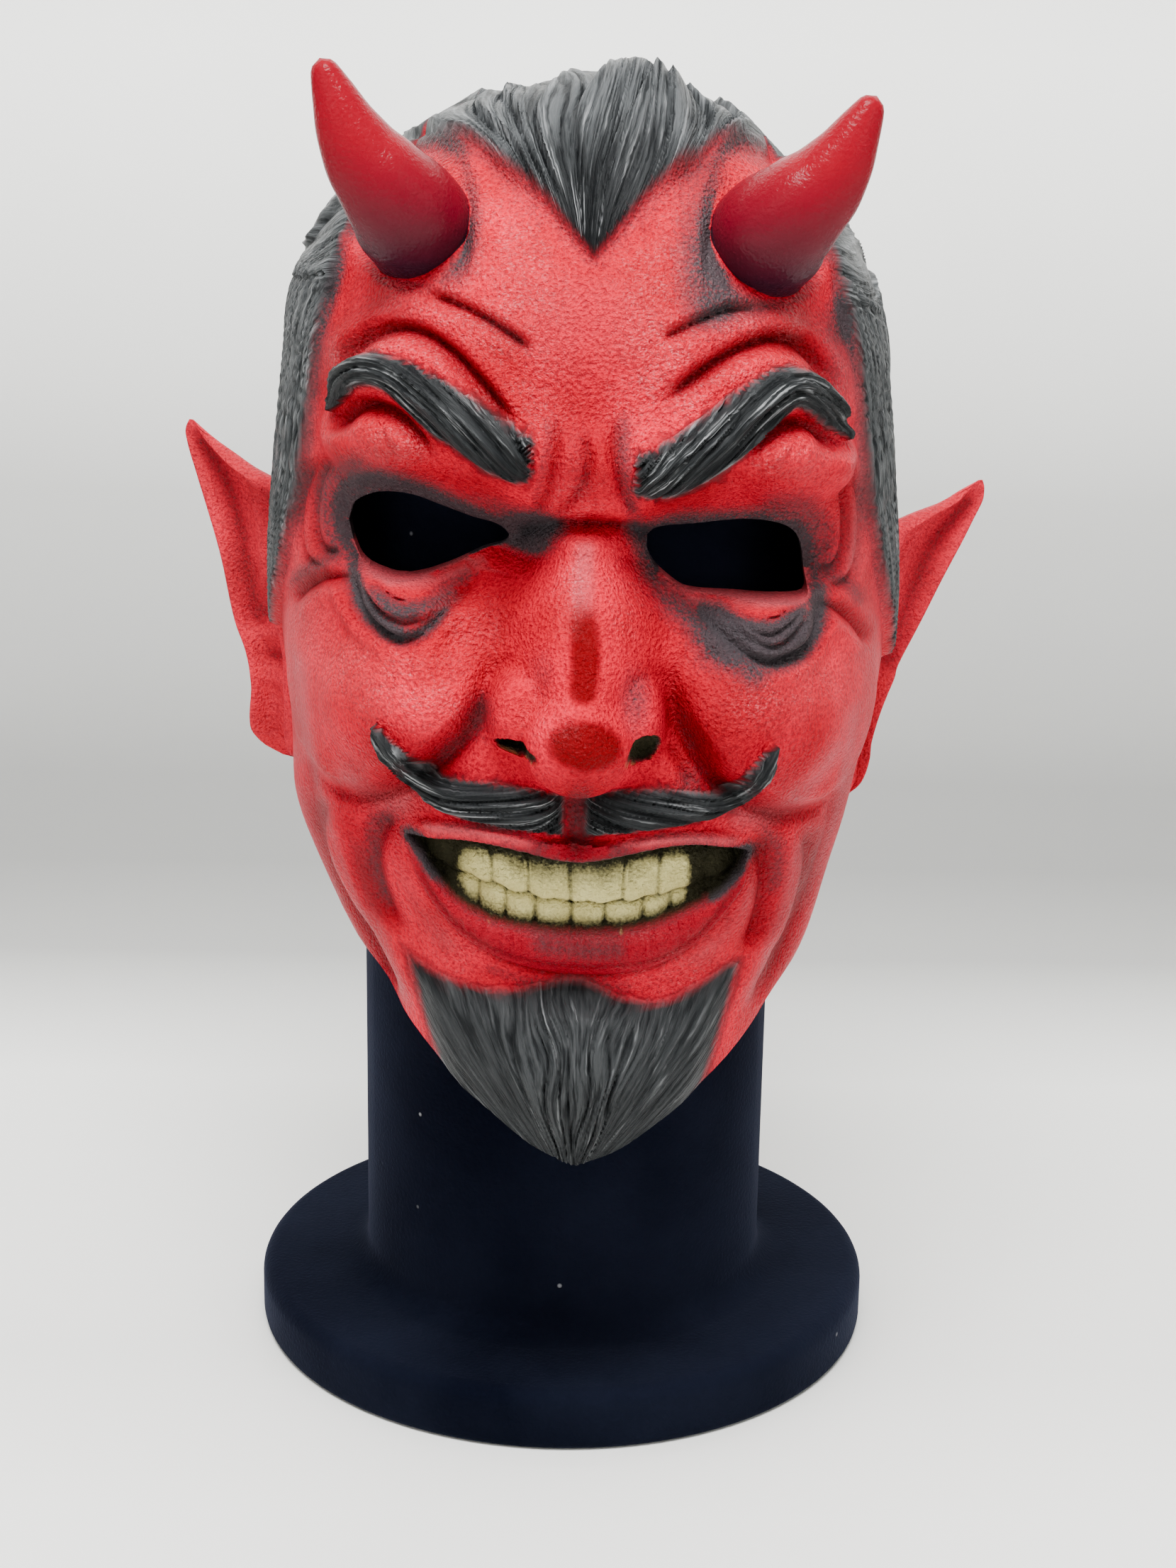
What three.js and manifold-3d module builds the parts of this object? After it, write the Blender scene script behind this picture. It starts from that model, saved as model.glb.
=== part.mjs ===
// A full-head devil mask of cast latex, resting on a flocked display head with a straight neck and a round foot.
// Millimetres, Z up. The face looks towards -Y, and the origin is on the table under the stand's axis.
import * as THREE from "three";
import { mergeVertices } from "three/addons/utils/BufferGeometryUtils.js";
import Module from "manifold-3d";

const wasm = await Module();
wasm.setup();

// The stand's driving dimensions.
const FOOT_RADIUS = 90;
const FOOT_THICKNESS = 17;
const NECK_RADIUS = 58.5;
const NECK_TOP = 165;
const TURNED_SIDES = 36;

// The mask's driving dimensions. Heights are above the table.
const WALL = 3;
const CROWN = 348;
const TEMPLE_HEIGHT = 285;
const OCCIPUT_HEIGHT = 246;
const HEAD_AXIS_Y = -5;
const DOME_ROUNDNESS = 2.02;
const FRONT_ROUNDNESS = 2.15;
const BACK_ROUNDNESS = 2.3;
const REST_GAP = 0.3;

// The mask sits a little to one side of the stand's axis, and hangs lower on its left.
const MASK_SHIFT = 3;
const HANG_SLOPE = -0.035;

// The skin without its features: half width, front and back of the head at a few heights.
const HALF_WIDTH = [[86, 52], [110, 57], [124, 60.5], [137, 66], [155, 70.8], [175, 76.2], [205, 82.3], [230, 83], [255, 81], [285, 77.5]];
const FRONT_Y = [[86, -99], [100, -104], [118, -107], [139, -101], [160, -105], [190, -106], [225, -101], [250, -99], [268, -105], [285, -106]];
const BACK_Y = [[86, 70], [115, 73], [140, 73], [165, 76], [195, 84], [225, 93], [250, 97], [285, 99]];

// The lower edge of the face and jaw, by the angle from the front in degrees, and where it turns in under the chin.
const JAW_EDGE = [[0, 89.2], [10, 94], [21, 102.5], [34, 109.5], [48, 118], [62, 127.5], [75, 134.5], [95, 136], [130, 127], [180, 117]];
const NECK_OPENING = { radius: 59.6, back: 69 };
const UNDERSIDE_HEIGHT = 124;

const clamp = (value, low, high) => Math.min(high, Math.max(low, value));
const radians = (degrees) => (degrees * Math.PI) / 180;

// A smooth step from 0 at low to 1 at high.
function ease(low, high, value) {
  const t = clamp((value - low) / (high - low), 0, 1);
  return t * t * (3 - 2 * t);
}

// The value at a place between knots [place, value], on one smooth curve.
function along(knots, place) {
  const last = knots.length - 1;
  if (place <= knots[0][0]) return knots[0][1];
  if (place >= knots[last][0]) return knots[last][1];
  let i = 0;
  while (place > knots[i + 1][0]) i++;
  const slope = (k) => {
    const a = knots[Math.max(k - 1, 0)];
    const b = knots[Math.min(k + 1, last)];
    return (b[1] - a[1]) / (b[0] - a[0]);
  };
  const [x0, y0] = knots[i];
  const [x1, y1] = knots[i + 1];
  const span = x1 - x0;
  const t = (place - x0) / span;
  return (
    y0 * (1 + 2 * t) * (1 - t) ** 2 +
    slope(i) * span * t * (1 - t) ** 2 +
    y1 * t * t * (3 - 2 * t) +
    slope(i + 1) * span * t * t * (t - 1)
  );
}

// A soft oval mound, 1 at its centre and 0 at its rim.
function mound(x, z, centreX, centreZ, radiusX, radiusZ) {
  const r2 = ((x - centreX) / radiusX) ** 2 + ((z - centreZ) / radiusZ) ** 2;
  return Math.max(0, 1 - r2) ** 2;
}

// A line drawn on the face, as [x, z] points. near() tells how far a place is from it, on which side, and how far along.
function line(points) {
  const curve = new THREE.SplineCurve(points.map(([x, z]) => new THREE.Vector2(x, z)));
  const dots = curve.getPoints(points.length * 4);
  return {
    near(x, z) {
      let best = { gap: Infinity, side: 1, t: 0 };
      for (let i = 0; i < dots.length - 1; i++) {
        const dx = dots[i + 1].x - dots[i].x;
        const dz = dots[i + 1].y - dots[i].y;
        const t = clamp(((x - dots[i].x) * dx + (z - dots[i].y) * dz) / (dx * dx + dz * dz), 0, 1);
        const ex = x - dots[i].x - dx * t;
        const ez = z - dots[i].y - dz * t;
        const gap = Math.hypot(ex, ez);
        if (gap < best.gap) best = { gap, side: Math.sign(dx * ez - dz * ex) || 1, t: (i + t) / (dots.length - 1) };
      }
      return best;
    },
    at: (t) => curve.getPoint(t),
    across: (t) => {
      const way = curve.getTangent(t);
      return new THREE.Vector2(-way.y, way.x);
    },
  };
}

// A furrow along a line: a groove of that depth and half width, fading out at both ends.
function furrow(path, x, z, depth, halfWidth) {
  const { gap, t } = path.near(x, z);
  return -depth * Math.exp(-((gap / halfWidth) ** 2)) * ease(0, 0.15, t) * ease(1, 0.85, t);
}

// The lines of the face, drawn for the right half and mirrored.
const CHEEK_FOLD = line([[20, 215], [23, 209], [27, 201], [31, 194.5], [36.5, 188.5], [43, 182.5], [52, 178], [61, 177], [68, 182]]);
const BROW_ARCH = line([[16, 279.5], [23, 285.5], [30, 291], [38, 295], [46, 296], [53, 293], [57.5, 288.5]]);
const FOREHEAD_FOLD = line([[12, 294], [20, 299], [28, 303], [37, 306.5]]);
const LID_FOLD = line([[33, 267], [40, 272], [47, 274.5], [54, 273.5], [59.5, 268]]);
const BAG_EDGE = line([[57, 232], [55, 225.5], [50.5, 221.5], [44, 221], [37.5, 225], [31, 231], [26, 236]]);
const EYE_CORNER_LOOP = line([[61, 266], [66, 254], [67.5, 243], [64, 236.5], [57, 239]]);
const EYE_CORNER_FOLD = line([[75, 219], [69.5, 227], [64, 230], [57, 232]]);
const SMILE_FOLD = line([[47, 177], [48.5, 166], [47, 155], [42, 144]]);
const JOWL_FOLD = line([[64, 172], [62, 158], [57, 144], [49, 132]]);
const NOSE_ROOT = line([[-16, 248], [-10, 251], [0, 252.5], [9, 253.5], [15, 255]]);

// The big forms of the face at a place in front view, pushed out from the plain head. Cheeks end crisply at their fold.
function faceForm(x, z) {
  const s = Math.abs(x);
  let out = 0;
  out += 5 * mound(s, z, 38, 284, 32, 19);
  out += 4 * mound(s, z, 13, 268, 14, 15);
  out -= 10 * mound(s, z, 34, 247, 32, 22);
  out -= 5 * mound(s, z, 18, 249, 13, 14);
  out += 9 * mound(s, z, 47, 264, 21, 13);
  out += 3.5 * mound(s, z, 44, 230, 22, 13);
  const { gap, side } = CHEEK_FOLD.near(s, z);
  const cheekSide = ease(-3, 9, gap * side);
  out += 12 * mound(s, z, 48, 203, 38, 39) * cheekSide;
  out += 3.5 * mound(s, z, 0, 187, 36, 20);
  out += 2.5 * mound(s, z, 46, 160, 16, 20);
  out += 4 * mound(s, z, 0, 116, 30, 24);
  out -= 2.5 * mound(s, z, 0, 138, 34, 9);
  return out;
}

// Creases and folds that show from a step away.
function faceFolds(x, z) {
  const s = Math.abs(x);
  return (
    furrow(BROW_ARCH, s, z, 2.4, 3) +
    furrow(FOREHEAD_FOLD, s, z, 1.8, 3) +
    furrow(LID_FOLD, s, z, 2, 2.6) +
    furrow(BAG_EDGE, s, z, 2.2, 2.6) +
    furrow(EYE_CORNER_LOOP, s, z, 2, 2.6) +
    furrow(EYE_CORNER_FOLD, s, z, 2, 2.6) +
    furrow(SMILE_FOLD, s, z, 2.4, 3.5) +
    furrow(JOWL_FOLD, s, z, 2, 4) +
    furrow(NOSE_ROOT, x, z, 2.6, 3)
  );
}

// The mouth: its opening between two edges, sunk to hold the teeth, and the teeth's own arch.
const MOUTH_CORNER = 40;
const UPPER_EDGE = [[0, 172], [8, 173], [17, 175], [27, 175.5], [35, 174], [40, 172]];
const LOWER_EDGE = [[0, 153], [10, 154], [19, 156.5], [28, 161.5], [35, 167], [40, 172]];
const MOUTH_DEPTH = 10;
function mouthForm(x, z) {
  const s = Math.abs(x);
  const inside = Math.min(along(UPPER_EDGE, s) - z, z - along(LOWER_EDGE, s), MOUTH_CORNER - s);
  return -MOUTH_DEPTH * ease(-1.5, 2.5, inside);
}

// The hairline: heights across the forehead by angle from the front, the temple's angle by height, and the edge behind the ear.
const FRONT_HAIRLINE = [[0, 314.5], [6, 322], [12, 327], [18, 329.5], [30, 331.5], [52, 332]];
const TEMPLE_HAIRLINE = [[206, 81], [219, 70], [233, 62], [255, 54], [278, 48], [295, 46.5], [308, 47], [320, 50], [335, 56]];
const LOW_HAIRLINE = [[80, 206], [84, 225], [88, 247], [100, 247], [108, 225], [116, 190], [128, 160], [142, 140], [180, 134]];
const HAIR_THICKNESS = 3;
const HAIR_LOCKS = 15;
const LOCK_DEPTH = 1.3;

function hairCover(x, y, z) {
  const angle = (Math.atan2(Math.abs(x), HEAD_AXIS_Y - y) * 180) / Math.PI;
  const pastTemple = (angle - along(TEMPLE_HAIRLINE, z)) * 1.4;
  const aboveFront = angle < 52 ? z - along(FRONT_HAIRLINE, angle) : pastTemple;
  const overEar = angle > 80 ? z - along(LOW_HAIRLINE, angle) : Infinity;
  return Math.min(Math.max(pastTemple, aboveFront), overEar);
}

// Hair swept up and back from the peak: locks fan out from it over the head to the nape.
function hairForm(x, y, z) {
  const cover = ease(-1, 4, hairCover(x, y, z));
  const fan = Math.atan2(x, z - 292 + 0.25 * (y + 98));
  const lock = Math.abs(Math.sin((fan * HAIR_LOCKS) / 2 + 0.6 * Math.sin(y / 17)));
  return cover * (HAIR_THICKNESS + LOCK_DEPTH * (lock - 0.5));
}

// The quiff: hair piled above the forehead, highest a little to the mask's left.
function quiffForm(x, y, z) {
  const rise = ease(316, 346, z + 0.25 * Math.abs(x)) * ease(25, -60, y) * ease(62, 18, Math.abs(x - 6));
  return 12 * rise + 5 * mound(x, y, 14, -52, 18, 34) * ease(325, 342, z);
}

// The plain head's section at a height. The skull closes over the temples, and from lower down at the back.
function section(z) {
  const level = Math.min(z, TEMPLE_HEIGHT);
  const closing = (start) => {
    const rise = clamp((z - start) / (CROWN - start), 0, 1);
    return (1 - rise ** DOME_ROUNDNESS) ** (1 / DOME_ROUNDNESS);
  };
  return {
    width: along(HALF_WIDTH, level) * closing(TEMPLE_HEIGHT),
    front: (HEAD_AXIS_Y - along(FRONT_Y, level)) * closing(TEMPLE_HEIGHT),
    back: (along(BACK_Y, level) - HEAD_AXIS_Y) * closing(OCCIPUT_HEIGHT),
  };
}

// A point of the plain head, and its level outward direction, at an angle from the front and a height.
function headPoint(angle, z) {
  const { width, front, back } = section(z);
  const sin = Math.sin(angle);
  const cos = Math.cos(angle);
  const depth = cos > 0 ? front : back;
  const power = cos > 0 ? FRONT_ROUNDNESS : BACK_ROUNDNESS;
  const reach = (Math.abs(sin) ** power + Math.abs(cos) ** power) ** (-1 / power);
  const point = new THREE.Vector3(width * reach * sin, HEAD_AXIS_Y - depth * reach * cos, z);
  const outward = new THREE.Vector3(
    Math.sign(sin) * Math.abs(reach * sin) ** (power - 1) / Math.max(width, 1),
    -Math.sign(cos) * Math.abs(reach * cos) ** (power - 1) / Math.max(depth, 1),
    0,
  ).normalize();
  return { point, outward };
}

// The mask's outer skin at an angle and height.
function skinPoint(angle, z) {
  const { point, outward } = headPoint(angle, z);
  const { x, y } = point;
  const facing = ease(-20, -50, y);
  const out = facing * (faceForm(x, z) + mouthForm(x, z) + faceFolds(x, z)) + hairForm(x, y, z);
  const up = ease(300, CROWN, z);
  const way = outward.clone().multiplyScalar(1 - up).add(new THREE.Vector3(0, 0, up)).normalize();
  point.addScaledVector(way, out);
  const quiffWay = new THREE.Vector3(0, -0.45, 0.9);
  point.addScaledVector(quiffWay, quiffForm(x, y, z));
  return point;
}

// The wall's inner side at an angle and height. It follows the big hollows and swells of the face and leaves out the rest.
function cavityPoint(angle, z) {
  const { point, outward } = headPoint(angle, z);
  const s = Math.abs(point.x);
  const flat = (centreX, centreZ, radiusX, radiusZ) => 1 - ease(0.55, 1, Math.hypot((s - centreX) / radiusX, (z - centreZ) / radiusZ));
  const sunk = 13 * flat(24, 249, 34, 24) + 12 * flat(0, 163, 54, 22) + 5 * flat(0, 136, 50, 16);
  const swollen = 8 * mound(s, z, 48, 203, 38, 30) + 4 * mound(s, z, 0, 215, 14, 24) + 5 * mound(s, z, 46, 276, 30, 20);
  const up = ease(300, CROWN, z);
  const way = outward.multiplyScalar(1 - up).add(new THREE.Vector3(0, 0, up)).normalize();
  return point.addScaledVector(way, -WALL - ease(-20, -50, point.y) * (sunk - swollen));
}

// The skin at a place in front view, for what is modelled on it. It walks round the head until x fits.
function skinAt(x, z) {
  const { width } = section(z);
  let low = 0;
  let high = Math.PI / 2;
  const target = Math.min(Math.abs(x), width * 0.999);
  for (let i = 0; i < 24; i++) {
    const middle = (low + high) / 2;
    if (headPoint(middle, z).point.x < target) low = middle;
    else high = middle;
  }
  return skinPoint(Math.sign(x || 1) * low, z);
}

// A closed shell from rows of points, with a pole at each end, wound so that its faces look outwards.
function shellFromRows(firstPole, rows, lastPole) {
  const columns = rows[0].length;
  const points = [firstPole, ...rows.flat(), lastPole];
  const at = (row, column) => 1 + row * columns + (column % columns);
  const faces = [];
  for (let c = 0; c < columns; c++) {
    faces.push([0, at(0, c), at(0, c + 1)]);
    for (let r = 0; r < rows.length - 1; r++) {
      faces.push([at(r, c), at(r + 1, c), at(r + 1, c + 1)], [at(r, c), at(r + 1, c + 1), at(r, c + 1)]);
    }
    faces.push([at(rows.length - 1, c), points.length - 1, at(rows.length - 1, c + 1)]);
  }
  const corner = new THREE.Vector3();
  const volume = faces.reduce((sum, [a, b, c]) => sum + corner.crossVectors(points[b], points[c]).dot(points[a]), 0);
  const geometry = new THREE.BufferGeometry().setFromPoints(points);
  geometry.setIndex((volume > 0 ? faces : faces.map(([a, b, c]) => [a, c, b])).flat());
  return geometry;
}

// Angles round the head, closer together across the face.
const FACE_CROWDING = 0.5;
function columnAngles(count) {
  return Array.from({ length: count }, (_, i) => {
    const turn = (2 * Math.PI * i) / count - Math.PI;
    return turn - FACE_CROWDING * Math.sin(turn);
  });
}

// A closed form of the head from a point for each angle and height: a dome, the face down to the jaw, and the underside.
function headForm(pointAt, columns, domeRows, faceRows, underRows) {
  const angles = columnAngles(columns);
  const rows = [];
  for (let r = 1; r < domeRows; r++) {
    const z = TEMPLE_HEIGHT + (CROWN - TEMPLE_HEIGHT) * Math.cos(((Math.PI / 2) * r) / domeRows - Math.PI / 2);
    rows.unshift(angles.map((angle) => pointAt(angle, z)));
  }
  const edgeHeight = (angle) => along(JAW_EDGE, Math.abs((angle * 180) / Math.PI));
  for (let r = 0; r <= faceRows; r++) {
    const t = r / faceRows;
    rows.push(angles.map((angle) => pointAt(angle, TEMPLE_HEIGHT + (edgeHeight(angle) - TEMPLE_HEIGHT) * t)));
  }
  const bottom = new THREE.Vector3(0, 4, UNDERSIDE_HEIGHT);
  const edge = rows[rows.length - 1];
  for (let r = 1; r < underRows; r++) rows.push(edge.map((p) => p.clone().lerp(bottom, r / underRows)));
  return shellFromRows(pointAt(0, CROWN - 0.001).setX(0), rows, bottom);
}

// A closed body drawn out along a path: ring(t) gives the ring's points, and both ends close on a point.
function drawnOut(steps, ring) {
  const rows = [];
  for (let i = 1; i < steps; i++) rows.push(ring(i / steps));
  const middle = (points) => points.reduce((sum, p) => sum.add(p), new THREE.Vector3()).divideScalar(points.length);
  return shellFromRows(middle(ring(0)), rows, middle(ring(1)));
}

// A band modelled on the skin along a line: a moustache half, a brow or a lip. Its underside is sunk in the skin.
function bandOnSkin(path, halfWidths, rise, sink, steps, around, side = 1) {
  return drawnOut(steps, (t) => {
    const centre = path.at(t);
    const across = path.across(t);
    const half = along(halfWidths, t);
    const height = along(rise, t);
    return Array.from({ length: around }, (_, i) => {
      const turn = (2 * Math.PI * i) / around;
      const shift = half * Math.cos(turn);
      const x = (centre.x + across.x * shift) * side;
      const z = centre.y + across.y * shift;
      const point = skinAt(x, z);
      point.y -= Math.sin(turn) > 0 ? height * Math.sin(turn) : sink * Math.sin(turn);
      return point;
    });
  });
}

const BROW_LINE = line([[12.5, 266], [17, 266.5], [24, 271], [32, 276.5], [40, 281.5], [47, 285.5], [53, 285.5], [58, 282], [60, 275]]);
const BROW_HALF_WIDTH = [[0, 2.5], [0.1, 6], [0.25, 7.5], [0.45, 6.5], [0.6, 4.5], [0.75, 3.4], [0.9, 2.6], [1, 0.6]];
const BROW_RISE = [[0, 2], [0.15, 4.2], [0.5, 4.4], [0.8, 3.2], [1, 0.8]];
const MOUSTACHE_LINE = line([[3.5, 184.5], [10, 185.2], [18, 185.4], [25.5, 185.6], [31.5, 186.6], [37, 188.8], [42, 192.2], [46, 196.6], [49, 201]]);
const MOUSTACHE_HALF_WIDTH = [[0, 5.2], [0.15, 6], [0.4, 5.2], [0.6, 4.1], [0.75, 3.6], [0.88, 2.2], [1, 0.5]];
const MOUSTACHE_RISE = [[0, 3], [0.15, 4.4], [0.5, 4.4], [0.8, 3.4], [1, 1.6]];
const LOWER_LIP_LINE = line([[-41.5, 170.5], [-37, 163.5], [-30, 156.5], [-19, 150.5], [-8, 147.5], [0, 147], [8, 147.5], [19, 150.5], [30, 156.5], [37, 163.5], [41.5, 170.5]]);
const LOWER_LIP_HALF_WIDTH = [[0, 1.2], [0.12, 2.8], [0.3, 4.6], [0.5, 5.6], [0.7, 4.6], [0.88, 2.8], [1, 1.2]];
const UPPER_LIP_LINE = line([[-43, 173], [-34, 176.8], [-22, 178.2], [-10, 176.6], [0, 174.6], [10, 176.6], [22, 178.2], [34, 176.8], [43, 173]]);
const UPPER_LIP_HALF_WIDTH = [[0, 1], [0.15, 2.3], [0.35, 2.8], [0.5, 2.4], [0.65, 2.8], [0.85, 2.3], [1, 1]];
const LIP_RISE = [[0, 1.5], [0.2, 3.6], [0.5, 4.6], [0.8, 3.6], [1, 1.5]];

// A horn: a blunt cone that leans out and bends up, with its root sunk in the forehead.
const HORN_ROOT = new THREE.Vector3(43, -86, 322);
const HORN_RADIUS = [[0, 15], [0.3, 15.5], [0.42, 14], [0.62, 11], [0.8, 7.2], [0.94, 3.8], [1, 2.2]];
function hornForm(side, tip) {
  const curve = new THREE.CatmullRomCurve3([
    HORN_ROOT.clone().add(new THREE.Vector3(-7, 27, -13)),
    HORN_ROOT,
    HORN_ROOT.clone().lerp(tip, 0.5).add(new THREE.Vector3(1.5, -2, -2)),
    tip,
  ]);
  const steps = 10;
  const around = 14;
  return drawnOut(steps, (t) => {
    const centre = curve.getPoint(t);
    const way = curve.getTangent(t);
    const front = new THREE.Vector3(0, -1, 0).addScaledVector(way, way.y).normalize();
    const out = new THREE.Vector3().crossVectors(way, front);
    const radius = along(HORN_RADIUS, t);
    return Array.from({ length: around }, (_, i) => {
      const turn = (-side * 2 * Math.PI * i) / around;
      const point = centre.clone();
      point.addScaledVector(front, radius * Math.cos(turn)).addScaledVector(out, radius * Math.sin(turn));
      point.x *= side;
      return point;
    });
  });
}

// An ear: a leaf from the lobe up to a long point, dished in front behind its rim, its root sunk in the side of the head.
const LEFT_EAR = {
  rim: [[164.5, 86], [167, 92], [170.5, 95.6], [184, 95.1], [193, 96.8], [201.5, 100.3], [221, 104.8], [241, 111.3], [252, 115], [257, 113.8]],
  root: [[164, 77], [236, 78], [243.5, 86], [246, 93], [249, 99], [252.6, 106], [257, 112.5]],
  sweep: radians(38),
};
const RIGHT_EAR = {
  rim: [[162.5, 77], [166, 80.5], [172, 82.5], [178, 83], [188, 86.2], [200.5, 92.1], [210.5, 97.4], [223, 104], [238, 112.7], [245, 116.4], [250.5, 115.8]],
  root: [[162, 74], [236, 78], [242, 92], [244.7, 102], [248.3, 109.5], [250.5, 114.6]],
  sweep: radians(40),
};
const EAR_FRONT_Y = 0;
function earForm(side, { rim, root, sweep }) {
  const low = rim[0][0];
  const high = rim[rim.length - 1][0];
  const out = new THREE.Vector3(Math.cos(sweep), Math.sin(sweep), 0);
  const front = new THREE.Vector3(Math.sin(sweep), -Math.cos(sweep), 0);
  return drawnOut(13, (t) => {
    const z = low + (high - low) * t;
    const inner = along(root, z);
    const reach = (along(rim, z) - inner) / Math.cos(sweep);
    const start = new THREE.Vector3(inner, EAR_FRONT_Y + (inner - 78) * Math.tan(sweep), z);
    const thick = Math.min(4.5, reach * 0.4) * ease(1.05, 0.8, t) + 0.3;
    return Array.from({ length: 12 }, (_, i) => {
      const turn = (2 * Math.PI * i) / 12;
      const across = 0.5 - 0.5 * Math.cos(turn);
      const dish = Math.sin(turn) > 0 ? 1.5 * thick * ease(0.25, 0.5, across) * ease(0.98, 0.7, across) : 0;
      const point = start.clone().addScaledVector(out, reach * across).addScaledVector(front, thick * Math.sin(turn) - dish);
      return point.setX(point.x * side);
    });
  });
}

// The nose: level slices from its root down to the base, round in front, with a wing on either side.
const NOSE_FRONT = [[195, -112], [197, -122], [201, -129.5], [207, -132], [213, -129], [224, -121], [238, -113], [248, -106], [257, -101]];
const NOSE_HALF_WIDTH = [[195, 8], [200, 12], [207, 13.5], [214, 12], [225, 11], [240, 10.5], [257, 9]];
const NOSE_BACK_Y = -94;
function noseForm() {
  const low = NOSE_FRONT[0][0];
  const high = NOSE_FRONT[NOSE_FRONT.length - 1][0];
  return drawnOut(11, (t) => {
    const z = high + (low - high) * t;
    const half = along(NOSE_HALF_WIDTH, z);
    const front = along(NOSE_FRONT, z);
    return Array.from({ length: 12 }, (_, i) => {
      const turn = (2 * Math.PI * i) / 12;
      const cos = Math.cos(turn);
      const y = cos > 0 ? front + (NOSE_BACK_Y - front) * (1 - cos ** 0.8) : NOSE_BACK_Y - 3 * cos;
      return new THREE.Vector3((cos > 0 ? half : half * 1.35) * Math.sin(turn), y, z);
    });
  });
}

function nostrilWing(side) {
  return new THREE.SphereGeometry(1, 10, 8).rotateX(Math.PI / 2).scale(8, 13, 9.5).translate(side * 14, -104, 208);
}

// The teeth: one block curved like the jaw, upper row over lower row, each tooth swelling between its gaps.
const UPPER_GAPS = [-31, -20.5, -11.5, 0, 11.3, 19.7, 30];
const LOWER_GAPS = [-28, -23.5, -16.8, -9.8, -1.2, 7, 15.8, 22.5, 28];
const BITE_HEIGHT = 161;
function teethForm() {
  const halfSpan = 35;
  const block = new THREE.BoxGeometry(2 * halfSpan, 10, 30, 26, 1, 6);
  const place = block.getAttribute("position");
  const nearestGap = (gaps, x) => Math.min(...gaps.map((gap) => Math.abs(gap - x)));
  for (let i = 0; i < place.count; i++) {
    const x = place.getX(i);
    const z = place.getZ(i) + 163;
    const arch = -101.5 + 15 * (Math.abs(x) / halfSpan) ** 2.2;
    const gaps = z > BITE_HEIGHT ? UPPER_GAPS : LOWER_GAPS;
    const swell = 1.2 * ease(0, 3, nearestGap(gaps, x)) * ease(0, 2.5, Math.abs(z - BITE_HEIGHT));
    const lowerSetBack = z > BITE_HEIGHT ? 0 : 1.2;
    const front = place.getY(i) < 0;
    place.setXYZ(i, x, front ? arch - swell + lowerSetBack : arch + 9, z);
  }
  return block;
}

// An eye hole's cutter: its cut outline, pushed through the wall.
const LEFT_EYE = [[-59, 246], [-57, 251], [-50.5, 254.5], [-42.5, 255], [-35, 253], [-27.5, 251], [-21.5, 249.5], [-18.5, 247], [-20, 244.8], [-25, 243], [-33, 238.5], [-41, 235.2], [-48, 234.8], [-54.5, 236.8], [-57.5, 241]];
const RIGHT_EYE = [[15, 249], [17, 251.3], [23, 252], [29.5, 252.6], [38, 253], [45, 252.2], [50.5, 250.2], [53.5, 246.5], [54.5, 240.5], [54.5, 234.6], [46.5, 234.2], [36.5, 234.8], [27, 235.8], [22.5, 237.3], [17.5, 241.2], [15, 245.3]];
function eyeHoleForm(outline) {
  const curve = new THREE.SplineCurve([...outline, outline[0]].map(([x, z]) => new THREE.Vector2(x, z)));
  const shape = new THREE.Shape(curve.getPoints(28).slice(0, -1));
  const cutter = new THREE.ExtrudeGeometry(shape, { depth: 60, bevelEnabled: false });
  return cutter.rotateX(Math.PI / 2).translate(0, -65, 0);
}

// The stand: a turned foot and neck with a small fillet between them, and a plain head form on top.
function turnedStand() {
  const profile = new THREE.Path();
  profile.moveTo(0, 0).lineTo(FOOT_RADIUS - 2.5, 0);
  profile.absarc(FOOT_RADIUS - 2.5, 2.5, 2.5, -Math.PI / 2, 0);
  profile.absarc(FOOT_RADIUS - 4.5, FOOT_THICKNESS - 4.5, 4.5, 0, Math.PI / 2);
  profile.absarc(NECK_RADIUS + 7, FOOT_THICKNESS + 8, 7, -Math.PI / 2, -Math.PI, true);
  profile.lineTo(NECK_RADIUS - 0.8, NECK_TOP).lineTo(0, NECK_TOP);
  return new THREE.LatheGeometry(profile.getPoints(1), TURNED_SIDES).rotateX(Math.PI / 2);
}

// The head form is a plain egg, well inside the mask's face and sides, that carries the mask at its crown.
const FORM_SCALE = 0.84;
const FORM_FRONT_SCALE = 0.74;
const FORM_CROWN = 343.6;
const FORM_BOTTOM = 140;
function standHead() {
  const angles = columnAngles(20);
  const place = (angle, z) => {
    const { point } = headPoint(angle, z);
    const top = clamp((z - TEMPLE_HEIGHT) / (CROWN - TEMPLE_HEIGHT), 0, 1);
    const depthScale = point.y < 0 ? FORM_FRONT_SCALE : FORM_SCALE;
    return new THREE.Vector3(point.x * FORM_SCALE, point.y * depthScale, z + (FORM_CROWN - CROWN) * top);
  };
  const rows = [];
  const domeRows = 5;
  for (let r = 1; r < domeRows; r++) {
    const z = TEMPLE_HEIGHT + (CROWN - TEMPLE_HEIGHT) * Math.cos(((Math.PI / 2) * r) / domeRows) ** (2 / DOME_ROUNDNESS);
    rows.push(angles.map((angle) => place(angle, z)));
  }
  const wallRows = 4;
  for (let r = 0; r <= wallRows; r++) {
    rows.push(angles.map((angle) => place(angle, TEMPLE_HEIGHT + ((FORM_BOTTOM - TEMPLE_HEIGHT) * r) / wallRows)));
  }
  return shellFromRows(new THREE.Vector3(0, HEAD_AXIS_Y, FORM_CROWN), rows, new THREE.Vector3(0, 0, FORM_BOTTOM - 12));
}

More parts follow.
